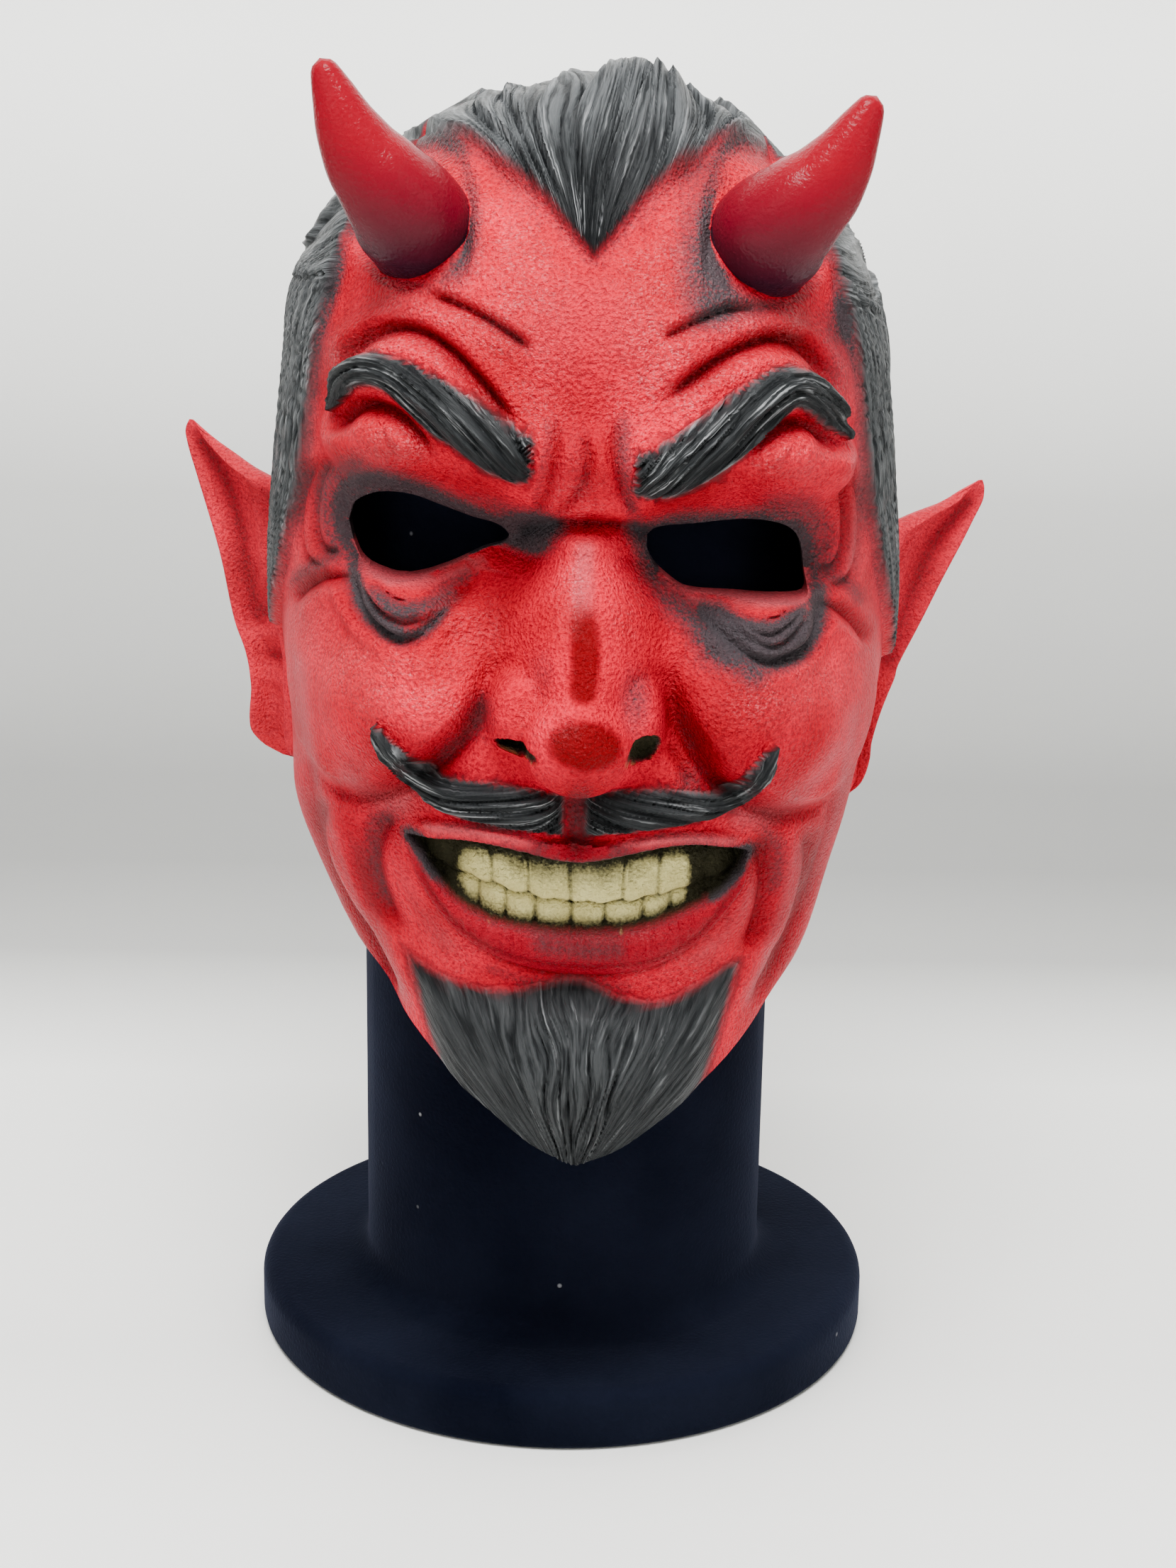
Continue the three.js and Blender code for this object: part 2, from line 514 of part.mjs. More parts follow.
// A geometry as a solid for cutting and joining, and a solid as a geometry again.
function solid(geometry) {
  const plain = geometry.clone();
  plain.deleteAttribute("normal");
  plain.deleteAttribute("uv");
  const merged = mergeVertices(plain, 1e-3);
  return new wasm.Manifold(
    new wasm.Mesh({
      numProp: 3,
      vertProperties: new Float32Array(merged.getAttribute("position").array),
      triVerts: new Uint32Array(merged.index.array),
    }),
  );
}

function geometryOf(made) {
  const { vertProperties, triVerts } = made.getMesh();
  const geometry = new THREE.BufferGeometry();
  geometry.setAttribute("position", new THREE.BufferAttribute(new Float32Array(vertProperties), 3));
  geometry.setIndex(new THREE.BufferAttribute(new Uint32Array(triVerts), 1));
  geometry.computeVertexNormals();
  return geometry;
}

function neckOpening() {
  const { radius, back } = NECK_OPENING;
  const depth = (back + radius) / 2;
  const cutter = new THREE.CylinderGeometry(1, 1, 60, 40).rotateX(Math.PI / 2);
  return cutter.scale(radius, depth, 1).translate(-MASK_SHIFT, back - depth, UNDERSIDE_HEIGHT - 6);
}

// The finished mask is moved to where it hangs on the stand.
function hang(geometry) {
  const place = geometry.getAttribute("position");
  for (let i = 0; i < place.count; i++) {
    const x = place.getX(i);
    place.setXYZ(i, x + MASK_SHIFT, place.getY(i), place.getZ(i) + HANG_SLOPE * x);
  }
  geometry.computeVertexNormals();
  return geometry;
}

const HORN_TIPS = { left: new THREE.Vector3(62, -96, 355), right: new THREE.Vector3(64.5, -96, 353) };

function buildMask() {
  const added = [
    hornForm(-1, HORN_TIPS.left),
    hornForm(1, HORN_TIPS.right),
    earForm(-1, LEFT_EAR),
    earForm(1, RIGHT_EAR),
    noseForm(),
    nostrilWing(-1),
    nostrilWing(1),
    teethForm(),
    bandOnSkin(LOWER_LIP_LINE, LOWER_LIP_HALF_WIDTH, LIP_RISE, 3, 16, 8),
    bandOnSkin(UPPER_LIP_LINE, UPPER_LIP_HALF_WIDTH, LIP_RISE, 3, 16, 6),
  ];
  for (const side of [-1, 1]) {
    added.push(bandOnSkin(BROW_LINE, BROW_HALF_WIDTH, BROW_RISE, 2, 12, 8, side));
    added.push(bandOnSkin(MOUSTACHE_LINE, MOUSTACHE_HALF_WIDTH, MOUSTACHE_RISE, 2, 12, 8, side));
  }
  let cast = solid(headForm(skinPoint, 48, 7, 28, 3));
  for (const piece of added) cast = cast.add(solid(piece));
  for (const hollow of [headForm(cavityPoint, 24, 4, 14, 2), neckOpening(), eyeHoleForm(LEFT_EYE), eyeHoleForm(RIGHT_EYE)]) {
    cast = cast.subtract(solid(hollow));
  }
  // Pinholes left between the joined pieces are filled by keeping the cast's one body.
  const whole = cast.decompose().reduce((best, body) => (body.volume() > best.volume() ? body : best));
  return hang(geometryOf(whole));
}

const latex = new THREE.MeshStandardMaterial({ color: 0xc4202b, roughness: 0.45, metalness: 0 });
const flock = new THREE.MeshStandardMaterial({ color: 0x05060c, roughness: 0.95, metalness: 0 });

const devilMask = new THREE.Mesh(buildMask(), latex);
devilMask.name = "devil_mask";
const displayStand = new THREE.Mesh(geometryOf(solid(turnedStand()).add(solid(standHead()))), flock);
displayStand.name = "display_stand";

const object = new THREE.Group();
object.add(devilMask, displayStand);
export default object;
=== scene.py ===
import math

import bmesh
import bpy
import numpy as np
from mathutils import Matrix, Vector


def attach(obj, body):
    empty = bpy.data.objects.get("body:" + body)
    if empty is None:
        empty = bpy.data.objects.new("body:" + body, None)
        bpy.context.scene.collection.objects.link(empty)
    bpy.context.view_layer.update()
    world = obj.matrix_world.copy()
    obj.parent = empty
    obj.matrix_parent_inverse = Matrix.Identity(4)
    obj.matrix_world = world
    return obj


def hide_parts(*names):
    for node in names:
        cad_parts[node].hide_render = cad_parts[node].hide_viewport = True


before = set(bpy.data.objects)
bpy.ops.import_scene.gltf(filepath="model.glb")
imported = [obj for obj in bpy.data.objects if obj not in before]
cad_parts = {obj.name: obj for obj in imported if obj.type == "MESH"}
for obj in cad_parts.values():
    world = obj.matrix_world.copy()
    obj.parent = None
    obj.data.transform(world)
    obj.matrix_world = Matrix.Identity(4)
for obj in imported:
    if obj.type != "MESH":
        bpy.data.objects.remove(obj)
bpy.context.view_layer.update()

# Display head, neck and foot
# A plain black head on a straight neck and a round foot, moulded in light foam and flocked like velvet.
# The neck runs into the foot with a soft fillet and the foot's rim is rounded over. The neck and the foot are
# drawn in metres.
foot_radius, foot_thickness = 0.090, 0.017
neck_radius, neck_top = 0.0585, 0.165
rim_round, base_round, neck_fillet = 0.0045, 0.0025, 0.0075

bpy.ops.object.select_all(action="DESELECT")
bpy.ops.mesh.primitive_cylinder_add(
    vertices=160, radius=foot_radius, depth=foot_thickness, location=(0, 0, foot_thickness / 2)
)
stand = bpy.context.object
stand.name = "flocked_display_stand"
bpy.ops.object.transform_apply(location=True, rotation=True, scale=True)
bpy.ops.object.mode_set(mode="EDIT")
bpy.ops.mesh.select_mode(type="FACE")
edit = bmesh.from_edit_mesh(stand.data)
for face in edit.faces:
    face.select = face.normal.z > 0.9
bmesh.update_edit_mesh(stand.data)
bpy.ops.mesh.inset(thickness=foot_radius - neck_radius)
bpy.ops.mesh.extrude_region_move(TRANSFORM_OT_translate={"value": (0, 0, neck_top - foot_thickness)})


def round_ring(radius, height, offset, steps):
    """Round the ring of edges at a radius and a height."""
    bpy.ops.mesh.select_mode(type="EDGE")
    bpy.ops.mesh.select_all(action="DESELECT")
    rings = bmesh.from_edit_mesh(stand.data)
    for edge in rings.edges:
        on_ring = all(abs(v.co.xy.length - radius) < 1e-4 and abs(v.co.z - height) < 1e-4 for v in edge.verts)
        edge.select_set(on_ring)
    bmesh.update_edit_mesh(stand.data)
    bpy.ops.mesh.bevel(offset=offset, segments=steps)


round_ring(foot_radius, foot_thickness, rim_round, 6)
round_ring(foot_radius, 0, base_round, 4)
round_ring(neck_radius, foot_thickness, neck_fillet, 7)
bpy.ops.object.mode_set(mode="OBJECT")

# The display head and the mask share one plain head, in millimetres: half widths and depths by height.
crown, temple_height, occiput_height = 348.0, 285.0, 246.0
head_axis = -5.0
half_width = [
    (86, 52), (110, 57), (124, 60.5), (137, 66), (155, 70.8), (175, 76.2), (205, 82.3), (230, 83),
    (255, 81), (285, 77.5),
]
front_depth = [
    (86, -99), (100, -104), (118, -107), (139, -101), (160, -105), (190, -106), (225, -101), (250, -99),
    (268, -105), (285, -106),
]
back_depth = [(86, 70), (115, 73), (140, 73), (165, 76), (195, 84), (225, 93), (250, 97), (285, 99)]
display_scale, display_front, display_crown, display_bottom = 0.84, 0.74, 343.6, 140.0


def ease(low, high, value):
    """A smooth step from 0 at low to 1 at high."""
    t = np.clip((value - low) / (high - low), 0.0, 1.0)
    return t * t * (3 - 2 * t)


def along(knots, place):
    """The value at a place on one smooth curve through the knots."""
    xs, ys = np.array(knots, float).T
    count = len(xs)
    before = np.maximum(np.arange(count) - 1, 0)
    after = np.minimum(np.arange(count) + 1, count - 1)
    slopes = (ys[after] - ys[before]) / (xs[after] - xs[before])
    place = np.clip(place, xs[0], xs[-1])
    i = np.clip(np.searchsorted(xs, place, side="right") - 1, 0, count - 2)
    span = xs[i + 1] - xs[i]
    t = (place - xs[i]) / span
    start = ys[i] * (1 + 2 * t) * (1 - t) ** 2 + slopes[i] * span * t * (1 - t) ** 2
    return start + ys[i + 1] * t * t * (3 - 2 * t) + slopes[i + 1] * span * t * t * (t - 1)


def closing(z, start):
    """How far the skull has closed in at a height, from 1 at the start to 0 at the crown."""
    rise = np.clip((z - start) / (crown - start), 0, 1)
    return (1 - rise ** 2.02) ** (1 / 2.02)


def plain_head(angle, z):
    """A point of the plain head and its level outward direction, by angle from the front and height."""
    level = np.minimum(z, temple_height)
    width = along(half_width, level) * closing(z, temple_height)
    front = (head_axis - along(front_depth, level)) * closing(z, temple_height)
    back = (along(back_depth, level) - head_axis) * closing(z, occiput_height)
    sin, cos = np.sin(angle), np.cos(angle)
    depth = np.where(cos > 0, front, back)
    power = np.where(cos > 0, 2.15, 2.3)
    reach = (np.abs(sin) ** power + np.abs(cos) ** power) ** (-1 / power)
    out_x = np.sign(sin) * np.abs(reach * sin) ** (power - 1) / np.maximum(width, 1)
    out_y = -np.sign(cos) * np.abs(reach * cos) ** (power - 1) / np.maximum(depth, 1)
    size = np.maximum(np.hypot(out_x, out_y), 1e-9)
    return width * reach * sin, head_axis - depth * reach * cos, out_x / size, out_y / size


def closed_outward(piece):
    """A closed piece with its faces turned outwards."""
    measure = bmesh.new()
    measure.from_mesh(piece.data)
    if measure.calc_volume(signed=True) < 0:
        piece.data.flip_normals()
    measure.free()
    return piece


def stretched_ball(name, columns, rows, shape):
    """A sheet rolled into a ball and moved into a shape(turn, fall): turn -1 to 1, fall 0 on top to 1."""
    bpy.ops.object.select_all(action="DESELECT")
    bpy.ops.mesh.primitive_grid_add(x_subdivisions=columns, y_subdivisions=rows, size=2)
    ball = bpy.context.object
    ball.name = name
    place = np.empty(len(ball.data.vertices) * 3)
    ball.data.vertices.foreach_get("co", place)
    across, down = place[0::3] * math.pi, (1 - place[1::3]) / 2 * math.pi
    rolled = np.stack([np.sin(down) * np.sin(across), -np.sin(down) * np.cos(across), np.cos(down)], 1)
    ball.data.vertices.foreach_set("co", rolled.ravel())
    bpy.ops.object.mode_set(mode="EDIT")
    bpy.ops.mesh.select_all(action="SELECT")
    bpy.ops.mesh.remove_doubles(threshold=1e-5)
    bpy.ops.object.mode_set(mode="OBJECT")
    place = np.empty(len(ball.data.vertices) * 3)
    ball.data.vertices.foreach_get("co", place)
    place = place.reshape(-1, 3)
    fall = np.round(np.arccos(np.clip(place[:, 2], -1, 1)) / math.pi * rows) / rows
    turn = np.arctan2(place[:, 0], -place[:, 1]) / math.pi
    moved = np.stack(shape(turn, fall), 1) / 1000
    ball.data.vertices.foreach_set("co", moved.ravel())
    ball.data.update()
    return closed_outward(ball)


def joined(body, other, how="UNION"):
    """Join another closed piece to a body, or cut it away."""
    change = body.modifiers.new("join", "BOOLEAN")
    change.operation, change.object, change.solver = how, other, "MANIFOLD"
    bpy.ops.object.select_all(action="DESELECT")
    bpy.context.view_layer.objects.active = body
    body.select_set(True)
    bpy.ops.object.modifier_apply(modifier=change.name)
    bpy.data.objects.remove(other)
    return body


def display_head_shape(turn, fall):
    dome_part = 0.4
    dome = temple_height + (crown - temple_height) * np.cos(np.clip(fall / dome_part, 0, 1) * math.pi / 2)
    wall = temple_height + (display_bottom - temple_height) * np.clip((fall - dome_part) / 0.5, 0, 1)
    z = np.where(fall < dome_part, dome, wall)
    x, y, _, _ = plain_head(turn * math.pi, z)
    low = ease(0.9, 1.0, fall)
    top = np.clip((z - temple_height) / (crown - temple_height), 0, 1)
    depth_scale = np.where(y < 0, display_front, display_scale)
    lift = (display_crown - crown) * top - 12 * low
    return x * display_scale * (1 - low), y * depth_scale * (1 - low), z + lift


joined(stand, stretched_ball("display_head", 96, 60, display_head_shape))
bpy.ops.object.select_all(action="DESELECT")
stand.select_set(True)
bpy.context.view_layer.objects.active = stand
bpy.ops.object.shade_smooth_by_angle(angle=math.radians(40))


class Paint:
    """A procedural material, built node by node."""

    def __init__(self, name):
        self.material = bpy.data.materials.new(name)
        self.material.use_nodes = True
        self.tree = self.material.node_tree
        self.finish = self.tree.nodes["Principled BSDF"]

    def node(self, kind, inputs=None, **settings):
        made = self.tree.nodes.new("ShaderNode" + kind)
        for setting, value in settings.items():
            setattr(made, setting, value)
        for socket, value in (inputs or {}).items():
            self.put(made.inputs[socket], value)
        return made

    def put(self, socket, value):
        if isinstance(value, bpy.types.NodeSocket):
            self.tree.links.new(value, socket)
        elif isinstance(value, tuple) and socket.type == "RGBA":
            socket.default_value = (*value, 1)
        else:
            socket.default_value = value

    def mask(self, name):
        return self.node("Attribute", attribute_name=name).outputs["Fac"]

    def object_place(self):
        return self.node("TexCoord").outputs["Object"]

    def noise(self, place, scale, detail=3.0, rough=0.5):
        settings = {"Vector": place, "Scale": scale, "Detail": detail, "Roughness": rough}
        return self.node("TexNoise", settings).outputs["Fac"]

    def between(self, value, low, high, start=0.0, end=1.0):
        """A value remapped from low..high to start..end, and held there."""
        settings = {"Value": value, "From Min": low, "From Max": high, "To Min": start, "To Max": end}
        return self.node("MapRange", settings).outputs["Result"]

    def sum(self, a, b, how="ADD"):
        made = self.node("Math", operation=how)
        self.put(made.inputs[0], a)
        self.put(made.inputs[1], b)
        return made.outputs["Value"]

    def times(self, a, b):
        return self.sum(a, b, "MULTIPLY")

    def over(self, amount, under, top, blend="MIX"):
        """One colour laid over another by an amount."""
        made = self.node("Mix", data_type="RGBA", blend_type=blend)
        self.put(made.inputs[0], amount)
        self.put(made.inputs[6], under)
        self.put(made.inputs[7], top)
        return made.outputs[2]

    def bump(self, height, distance, strength=1.0, before=None):
        made = self.node("Bump", {"Strength": strength, "Distance": distance, "Height": height})
        if before is not None:
            self.put(made.inputs["Normal"], before)
        return made.outputs["Normal"]


flock = Paint("black flocking")
flock_place = flock.object_place()
flock_tone = flock.between(flock.noise(flock_place, 14, 4), 0.35, 0.7)
flock_colour = flock.over(flock_tone, (0.0013, 0.0020, 0.0056), (0.0056, 0.0072, 0.0150))
lint = flock.node("TexVoronoi", {"Vector": flock_place, "Scale": 100.0})
lint_choice = flock.node("SeparateColor", {"Color": lint.outputs["Color"]})
lint_spot = flock.between(lint.outputs["Distance"], 0.075, 0.03)
lint_amount = flock.times(lint_spot, flock.between(lint_choice.outputs["Red"], 0.8, 1.0))
flock.put(flock.finish.inputs["Base Color"], flock.over(lint_amount, flock_colour, (0.25, 0.25, 0.26)))
flock.finish.inputs["Roughness"].default_value = 1.0
flock.finish.inputs["Specular IOR Level"].default_value = 0.03
flock.finish.inputs["Sheen Weight"].default_value = 0.08
flock.finish.inputs["Sheen Roughness"].default_value = 0.4
flock.finish.inputs["Sheen Tint"].default_value = (0.30, 0.34, 0.55, 1)
flock.put(flock.finish.inputs["Normal"], flock.bump(flock.noise(flock_place, 900), 0.0006, 0.5))
stand.data.materials.clear()
stand.data.materials.append(flock.material)
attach(stand, "root")
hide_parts("display_stand")

# Devil mask
# One cast of latex about 3 mm thick, poured in a mould with its hair, beard, teeth, horns and ears. It is cut
# open at the eyes and under the neck, and painted red with charcoal hair, airbrushed creases, painted shade
# and painted highlights. It is drawn in millimetres, seen from the front, with x from the middle of the face.
def mound(x, z, centre_x, centre_z, reach_x, reach_z, power=2.0):
    """A soft oval swelling, 1 at its centre and 0 at its rim."""
    return np.maximum(0, 1 - ((x - centre_x) / reach_x) ** 2 - ((z - centre_z) / reach_z) ** 2) ** power


def drawn(points, steps=5):
    """A smooth line drawn through points."""
    p = np.array(points, float)
    p = np.vstack([2 * p[0] - p[1], p, 2 * p[-1] - p[-2]])
    dots = []
    for a, b, c, d in zip(p[:-3], p[1:-2], p[2:-1], p[3:]):
        for t in np.arange(steps) / steps:
            bend = (2 * a - 5 * b + 4 * c - d) * t ** 2 + (3 * b - a - 3 * c + d) * t ** 3
            dots.append(0.5 * (2 * b + (c - a) * t + bend))
    dots.append(p[-2])
    return np.array(dots)


def near(line, x, z, reach=16.0):
    """How far each place is from a line, on which side of it (1 is left), and how far along it, 0 to 1."""
    gap, side, part = np.full(x.shape, 1e3), np.ones(x.shape), np.zeros(x.shape)
    low, high = line.min(0) - reach, line.max(0) + reach
    close = np.flatnonzero((x > low[0]) & (x < high[0]) & (z > low[1]) & (z < high[1]))
    cx, cz = x[close], z[close]
    best, turn, place = np.full(cx.shape, 1e3), np.ones(cx.shape), np.zeros(cx.shape)
    count = len(line) - 1
    for i in range(count):
        dx, dz = line[i + 1] - line[i]
        t = np.clip(((cx - line[i, 0]) * dx + (cz - line[i, 1]) * dz) / (dx * dx + dz * dz), 0, 1)
        ex, ez = cx - line[i, 0] - dx * t, cz - line[i, 1] - dz * t
        away = np.hypot(ex, ez)
        nearer = away < best
        best[nearer] = away[nearer]
        turn[nearer] = np.where(dx * ez - dz * ex >= 0, 1, -1)[nearer]
        place[nearer] = ((i + t) / count)[nearer]
    gap[close], side[close], part[close] = best, turn, place
    return gap, side, part


def crease(line, x, z, depth, width, rolls=0.4):
    """A sharp crease between two low rolls, fading out at both ends, and how much painted shade darkens it.
    """
    gap, _, part = near(line, x, z)
    fade = ease(0, 0.18, part) * ease(1, 0.82, part)
    line_in = np.exp(-((gap / width) ** 1.5))
    roll = rolls * np.exp(-(((gap - 2.6 * width) / (1.7 * width)) ** 2))
    return depth * fade * (roll - line_in), fade * np.exp(-((gap / (1.5 * width)) ** 2))


# The creases of the face: each line, its depth and its half width.
creases = [
    ([(-61, 281), (-58, 287), (-53, 291.5), (-46, 294.5), (-39, 294.2), (-32, 290.5), (-26, 285),
      (-20, 278.5), (-15, 274)], 3.6, 1.5),
    ([(17, 281), (23, 286.5), (30, 291.5), (37, 295), (44, 296.5), (51, 294.8), (57, 289), (61.5, 281.5)],
      3.6, 1.5),
    ([(-40, 303), (-34, 302.5), (-28, 300.5), (-22, 297.8), (-17, 295), (-12.5, 292)], 2.6, 1.2),
    ([(43, 303), (36, 303.5), (29, 302), (22, 299), (16, 296)], 2.6, 1.2),
    ([(-61, 266), (-58, 272.5), (-53, 276), (-47, 275.5), (-41, 271.5), (-35, 265)], 3.2, 1.5),
    ([(38, 270.5), (44, 275), (50, 277), (56, 275), (61, 268)], 3.2, 1.5),
    ([(-18, 247), (-14, 249.8), (-8, 251.8), (0, 252.6), (8, 252.4), (14, 250.6), (18, 248)], 3.4, 1.4),
    ([(-7, 278), (-7.5, 268), (-9.5, 259), (-13, 253)], 1.7, 1.1),
    ([(-1, 276), (0.5, 266), (-3, 259), (-8, 254)], 1.5, 1.0),
    ([(6.5, 279), (7, 268), (9, 260), (13, 254)], 1.7, 1.1),
    ([(-63, 263), (-67, 254), (-68.5, 244), (-66, 237.5), (-60, 238.5)], 2.3, 1.3),
    ([(-66, 262), (-71, 252), (-72.5, 241), (-70, 234), (-62, 234)], 1.8, 1.2),
    ([(-77, 219), (-71, 226.5), (-64, 231), (-57, 232.5)], 2.2, 1.3),
    ([(61, 270), (64.5, 258), (65.5, 246), (62.5, 240), (57, 241.5)], 2.3, 1.3),
    ([(65, 268), (69, 256), (69.5, 244), (66, 236.5), (58, 236)], 1.8, 1.2),
    ([(75, 216), (70, 224), (64.5, 229), (57.5, 232.5)], 2.2, 1.3),
    ([(-58, 236), (-56.5, 228.5), (-52, 222.5), (-46, 219.8), (-40.5, 221.5), (-36, 226.5), (-31, 232.5),
      (-24, 239.5)], 3.2, 1.5),
    ([(58, 236), (58, 228), (54.5, 221.5), (48, 218.8), (42, 220), (36, 224.5), (29.5, 230.5), (22.5, 237)],
      3.2, 1.5),
    ([(-55, 231.5), (-50, 226), (-44, 224.2), (-38, 227)], 2.2, 1.0),
    ([(-53, 234), (-47, 229.8), (-41, 229.6), (-34, 233)], 1.8, 0.9),
    ([(56, 231), (51.5, 225), (46, 222.6), (39, 225.8), (31, 231.5)], 2.3, 1.0),
    ([(54, 231.5), (50, 227.4), (45, 225.6), (38, 228.6), (30, 233.5)], 1.7, 0.8),
    ([(52, 232.6), (48, 229.8), (43, 229.2), (36, 231.6)], 1.6, 0.8),
    ([(-47, 177), (-50.5, 170), (-51.5, 161), (-49.5, 151), (-45, 140)], 3.0, 2.4),
    ([(43.5, 176), (47, 168), (47.5, 159), (46, 150), (42.5, 140)], 3.0, 2.4),
    ([(-60, 176), (-63, 167), (-62, 157), (-58.5, 145), (-52, 130), (-47, 121)], 2.2, 2.8),
    ([(57, 176), (59.5, 166), (58.5, 155), (55.5, 144), (50, 131), (45, 121)], 2.2, 2.8),
    ([(19.5, 201), (22.5, 197.5), (24.8, 193.5), (27, 189.5)], 1.6, 1.2),
    ([(-68, 186), (-66.5, 168), (-63.5, 154), (-58, 140), (-51, 127), (-45, 116)], 1.6, 2.2),
    ([(66, 184), (65.5, 168), (62, 152), (56.5, 138), (50, 125)], 1.6, 2.2),
    ([(-33, 321), (-29.5, 315), (-30.5, 308.5), (-36, 304)], 1.1, 1.5),
    ([(30, 321), (27.5, 314), (29.5, 307), (36, 302.5)], 1.1, 1.5),
]
creases = [(drawn(points), depth, width) for points, depth, width in creases]
# The folds from the nose down to the cheeks, then the middle lines of the brows and the moustache.
cheek_folds = [
    drawn([
        (19, 217), (20.5, 213), (23, 206), (27, 199), (31.5, 193), (37, 188), (43.5, 183), (52, 179),
        (61, 178.5), (70, 182),
    ]),
    drawn([
        (-20, 218), (-22, 213), (-24.5, 206), (-28, 200), (-33, 194.5), (-39, 189), (-46, 183.5),
        (-54, 178), (-61, 177), (-70, 181),
    ]),
]
left_brow = drawn([
    (-12.5, 267.6), (-17, 268), (-24, 271.6), (-31, 276), (-38, 280.2), (-45, 284), (-52, 284.6),
    (-57.5, 281.5), (-61, 273.5),
])
right_brow = drawn([
    (11.8, 265), (17, 265.6), (23, 268.4), (31, 274), (38, 280), (45, 285), (50, 285.6), (54.5, 283.2),
    (58.5, 279), (61.3, 272.8),
])
left_moustache = drawn([
    (-5, 182.4), (-10, 183), (-20, 183.5), (-30, 183.9), (-36, 185.8), (-42, 188.7), (-46, 191.6),
    (-50.5, 197.8),
])
right_moustache = drawn([
    (1.8, 183.2), (10, 184), (20, 184.6), (27, 184.7), (33, 185.3), (39, 187.8), (43, 191.2), (46.8, 198.4),
])
# Each tuft: its line, its half width along it, how proud it stands, where its inner end is cut and how ragged
# that cut is, and how its strands cross it there and over what length.
tufts = [
    (left_brow, [(0, 5.6), (0.1, 6.3), (0.24, 6.7), (0.42, 6.6), (0.56, 5.3), (0.7, 4.1), (0.82, 3.5),
      (0.92, 2.6), (1, 0.5)], 3.6, -12.6, 1.5, 13.0, 16.0),
    (right_brow, [(0, 5.2), (0.1, 6.2), (0.24, 6.9), (0.42, 6.7), (0.56, 5.6), (0.68, 4.6), (0.8, 4.1),
      (0.9, 3.0), (1, 0.5)], 3.6, 11.2, 1.5, -13.0, 16.0),
    (left_moustache, [(0, 5.1), (0.14, 5.4), (0.3, 5.6), (0.46, 4.9), (0.62, 3.8), (0.76, 3.0), (0.88, 2.3),
      (1, 0.3)], 3.8, -4.7, 0.4, -11.0, 13.0),
    (right_moustache, [(0, 5.4), (0.16, 5.5), (0.34, 4.7), (0.5, 3.7), (0.64, 3.1), (0.8, 2.8), (0.9, 2.3),
      (1, 0.3)], 3.8, 1.4, 0.4, 11.0, 13.0),
]
# The mouth and the teeth: lip lines, the edges of the opening, and the gaps between teeth.
outer_lip = drawn([
    (-43, 172), (-40.5, 163), (-35, 153.5), (-28.5, 146.8), (-20, 142.5), (-10, 140.4), (0, 139.9),
    (10, 140.4), (20, 142.5), (28.5, 147.5), (34.5, 154.5), (39.5, 163.5), (42, 171),
])
upper_lip = drawn([
    (-45, 175.8), (-36, 177.8), (-26, 178.8), (-14, 178), (-6, 176), (-1, 174.2), (4, 176.2), (12, 178.2),
    (24, 179.4), (34, 178.6), (42, 175.5),
])
mouth_top = [
    (-42, 171), (-35, 172), (-27, 173.2), (-19.5, 173), (-12, 172), (-6, 171), (-1, 170.6), (4, 171.3),
    (10.5, 172.7), (17, 174.2), (23, 175), (28.5, 174.8), (35.5, 173.2), (41, 171.3),
]
mouth_bottom = [
    (-42, 171), (-38.5, 168), (-36, 165), (-30.5, 158.4), (-25, 155), (-19, 153), (-12, 152.5),
    (-5.8, 152.4), (3, 152.6), (10, 153.2), (16.2, 154.3), (22.8, 156.8), (28, 159.2), (33, 162), (37, 166),
    (41, 171.3),
]
upper_gaps = np.array([-38, -30, -20.8, -12.2, -2.2, 10.2, 18.5, 29.6, 38])
lower_gaps = np.array([-33, -24, -17.5, -10.5, -2, 6, 15, 21.5, 30])
bite = [
    (-36, 166), (-30, 164.5), (-20.5, 162.5), (-12, 161), (-1, 160.2), (10, 160.5), (19, 162), (28, 164.2),
    (36, 166.5),
]
# Where the hair and the beard begin.
peak_hairline = [(0, 313.5), (4, 317), (9.5, 321.6), (15, 325), (22, 328), (30, 331), (40, 332.5), (52, 333)]
temple_hairline = [
    (206, 81), (219, 70), (233, 62), (255, 54), (278, 48), (295, 46.5), (308, 47), (320, 49), (335, 54),
]
low_hairline = [
    (80, 206), (84, 225), (88, 247), (100, 247), (108, 225), (116, 190), (128, 160), (142, 140), (180, 134),
]
beard_top = [
    (-46, 141), (-43, 137.5), (-39, 135.2), (-30, 134.2), (-20, 134.4), (-10, 137), (-4, 138.8), (0, 139),
    (5, 137.5), (10, 135.4), (20, 133.5), (30, 136), (38, 140),
]
beard_half_width = [(80, 30), (96, 30), (104, 32.5), (110, 34.5), (120, 38), (130, 40.5), (140, 43)]
# The outlines of the two eye holes.
left_eye = [
    (-59, 246), (-57, 251), (-50.5, 254.5), (-42.5, 255), (-35, 253), (-27.5, 251), (-21.5, 249.5),
    (-18.5, 247), (-20, 244.8), (-25, 243), (-33, 238.5), (-41, 235.2), (-48, 234.8), (-54.5, 236.8),
    (-57.5, 241),
]
right_eye = [
    (15, 249), (17, 251.3), (23, 252), (29.5, 252.6), (38, 253), (45, 252.2), (50.5, 250.2), (53.5, 246.5),
    (54.5, 240.5), (54.5, 234.6), (46.5, 234.2), (36.5, 234.8), (27, 235.8), (22.5, 237.3), (17.5, 241.2),
    (15, 245.3),
]
eye_outlines = [drawn(outline + outline[:1], 4) for outline in (left_eye, right_eye)]


def inside_mouth(x, z):
    """How far inside the mouth's opening a place is, in millimetres, negative outside."""
    return np.minimum(np.minimum(along(mouth_top, x) - z, z - along(mouth_bottom, x)), 41.5 - np.abs(x + 0.5))


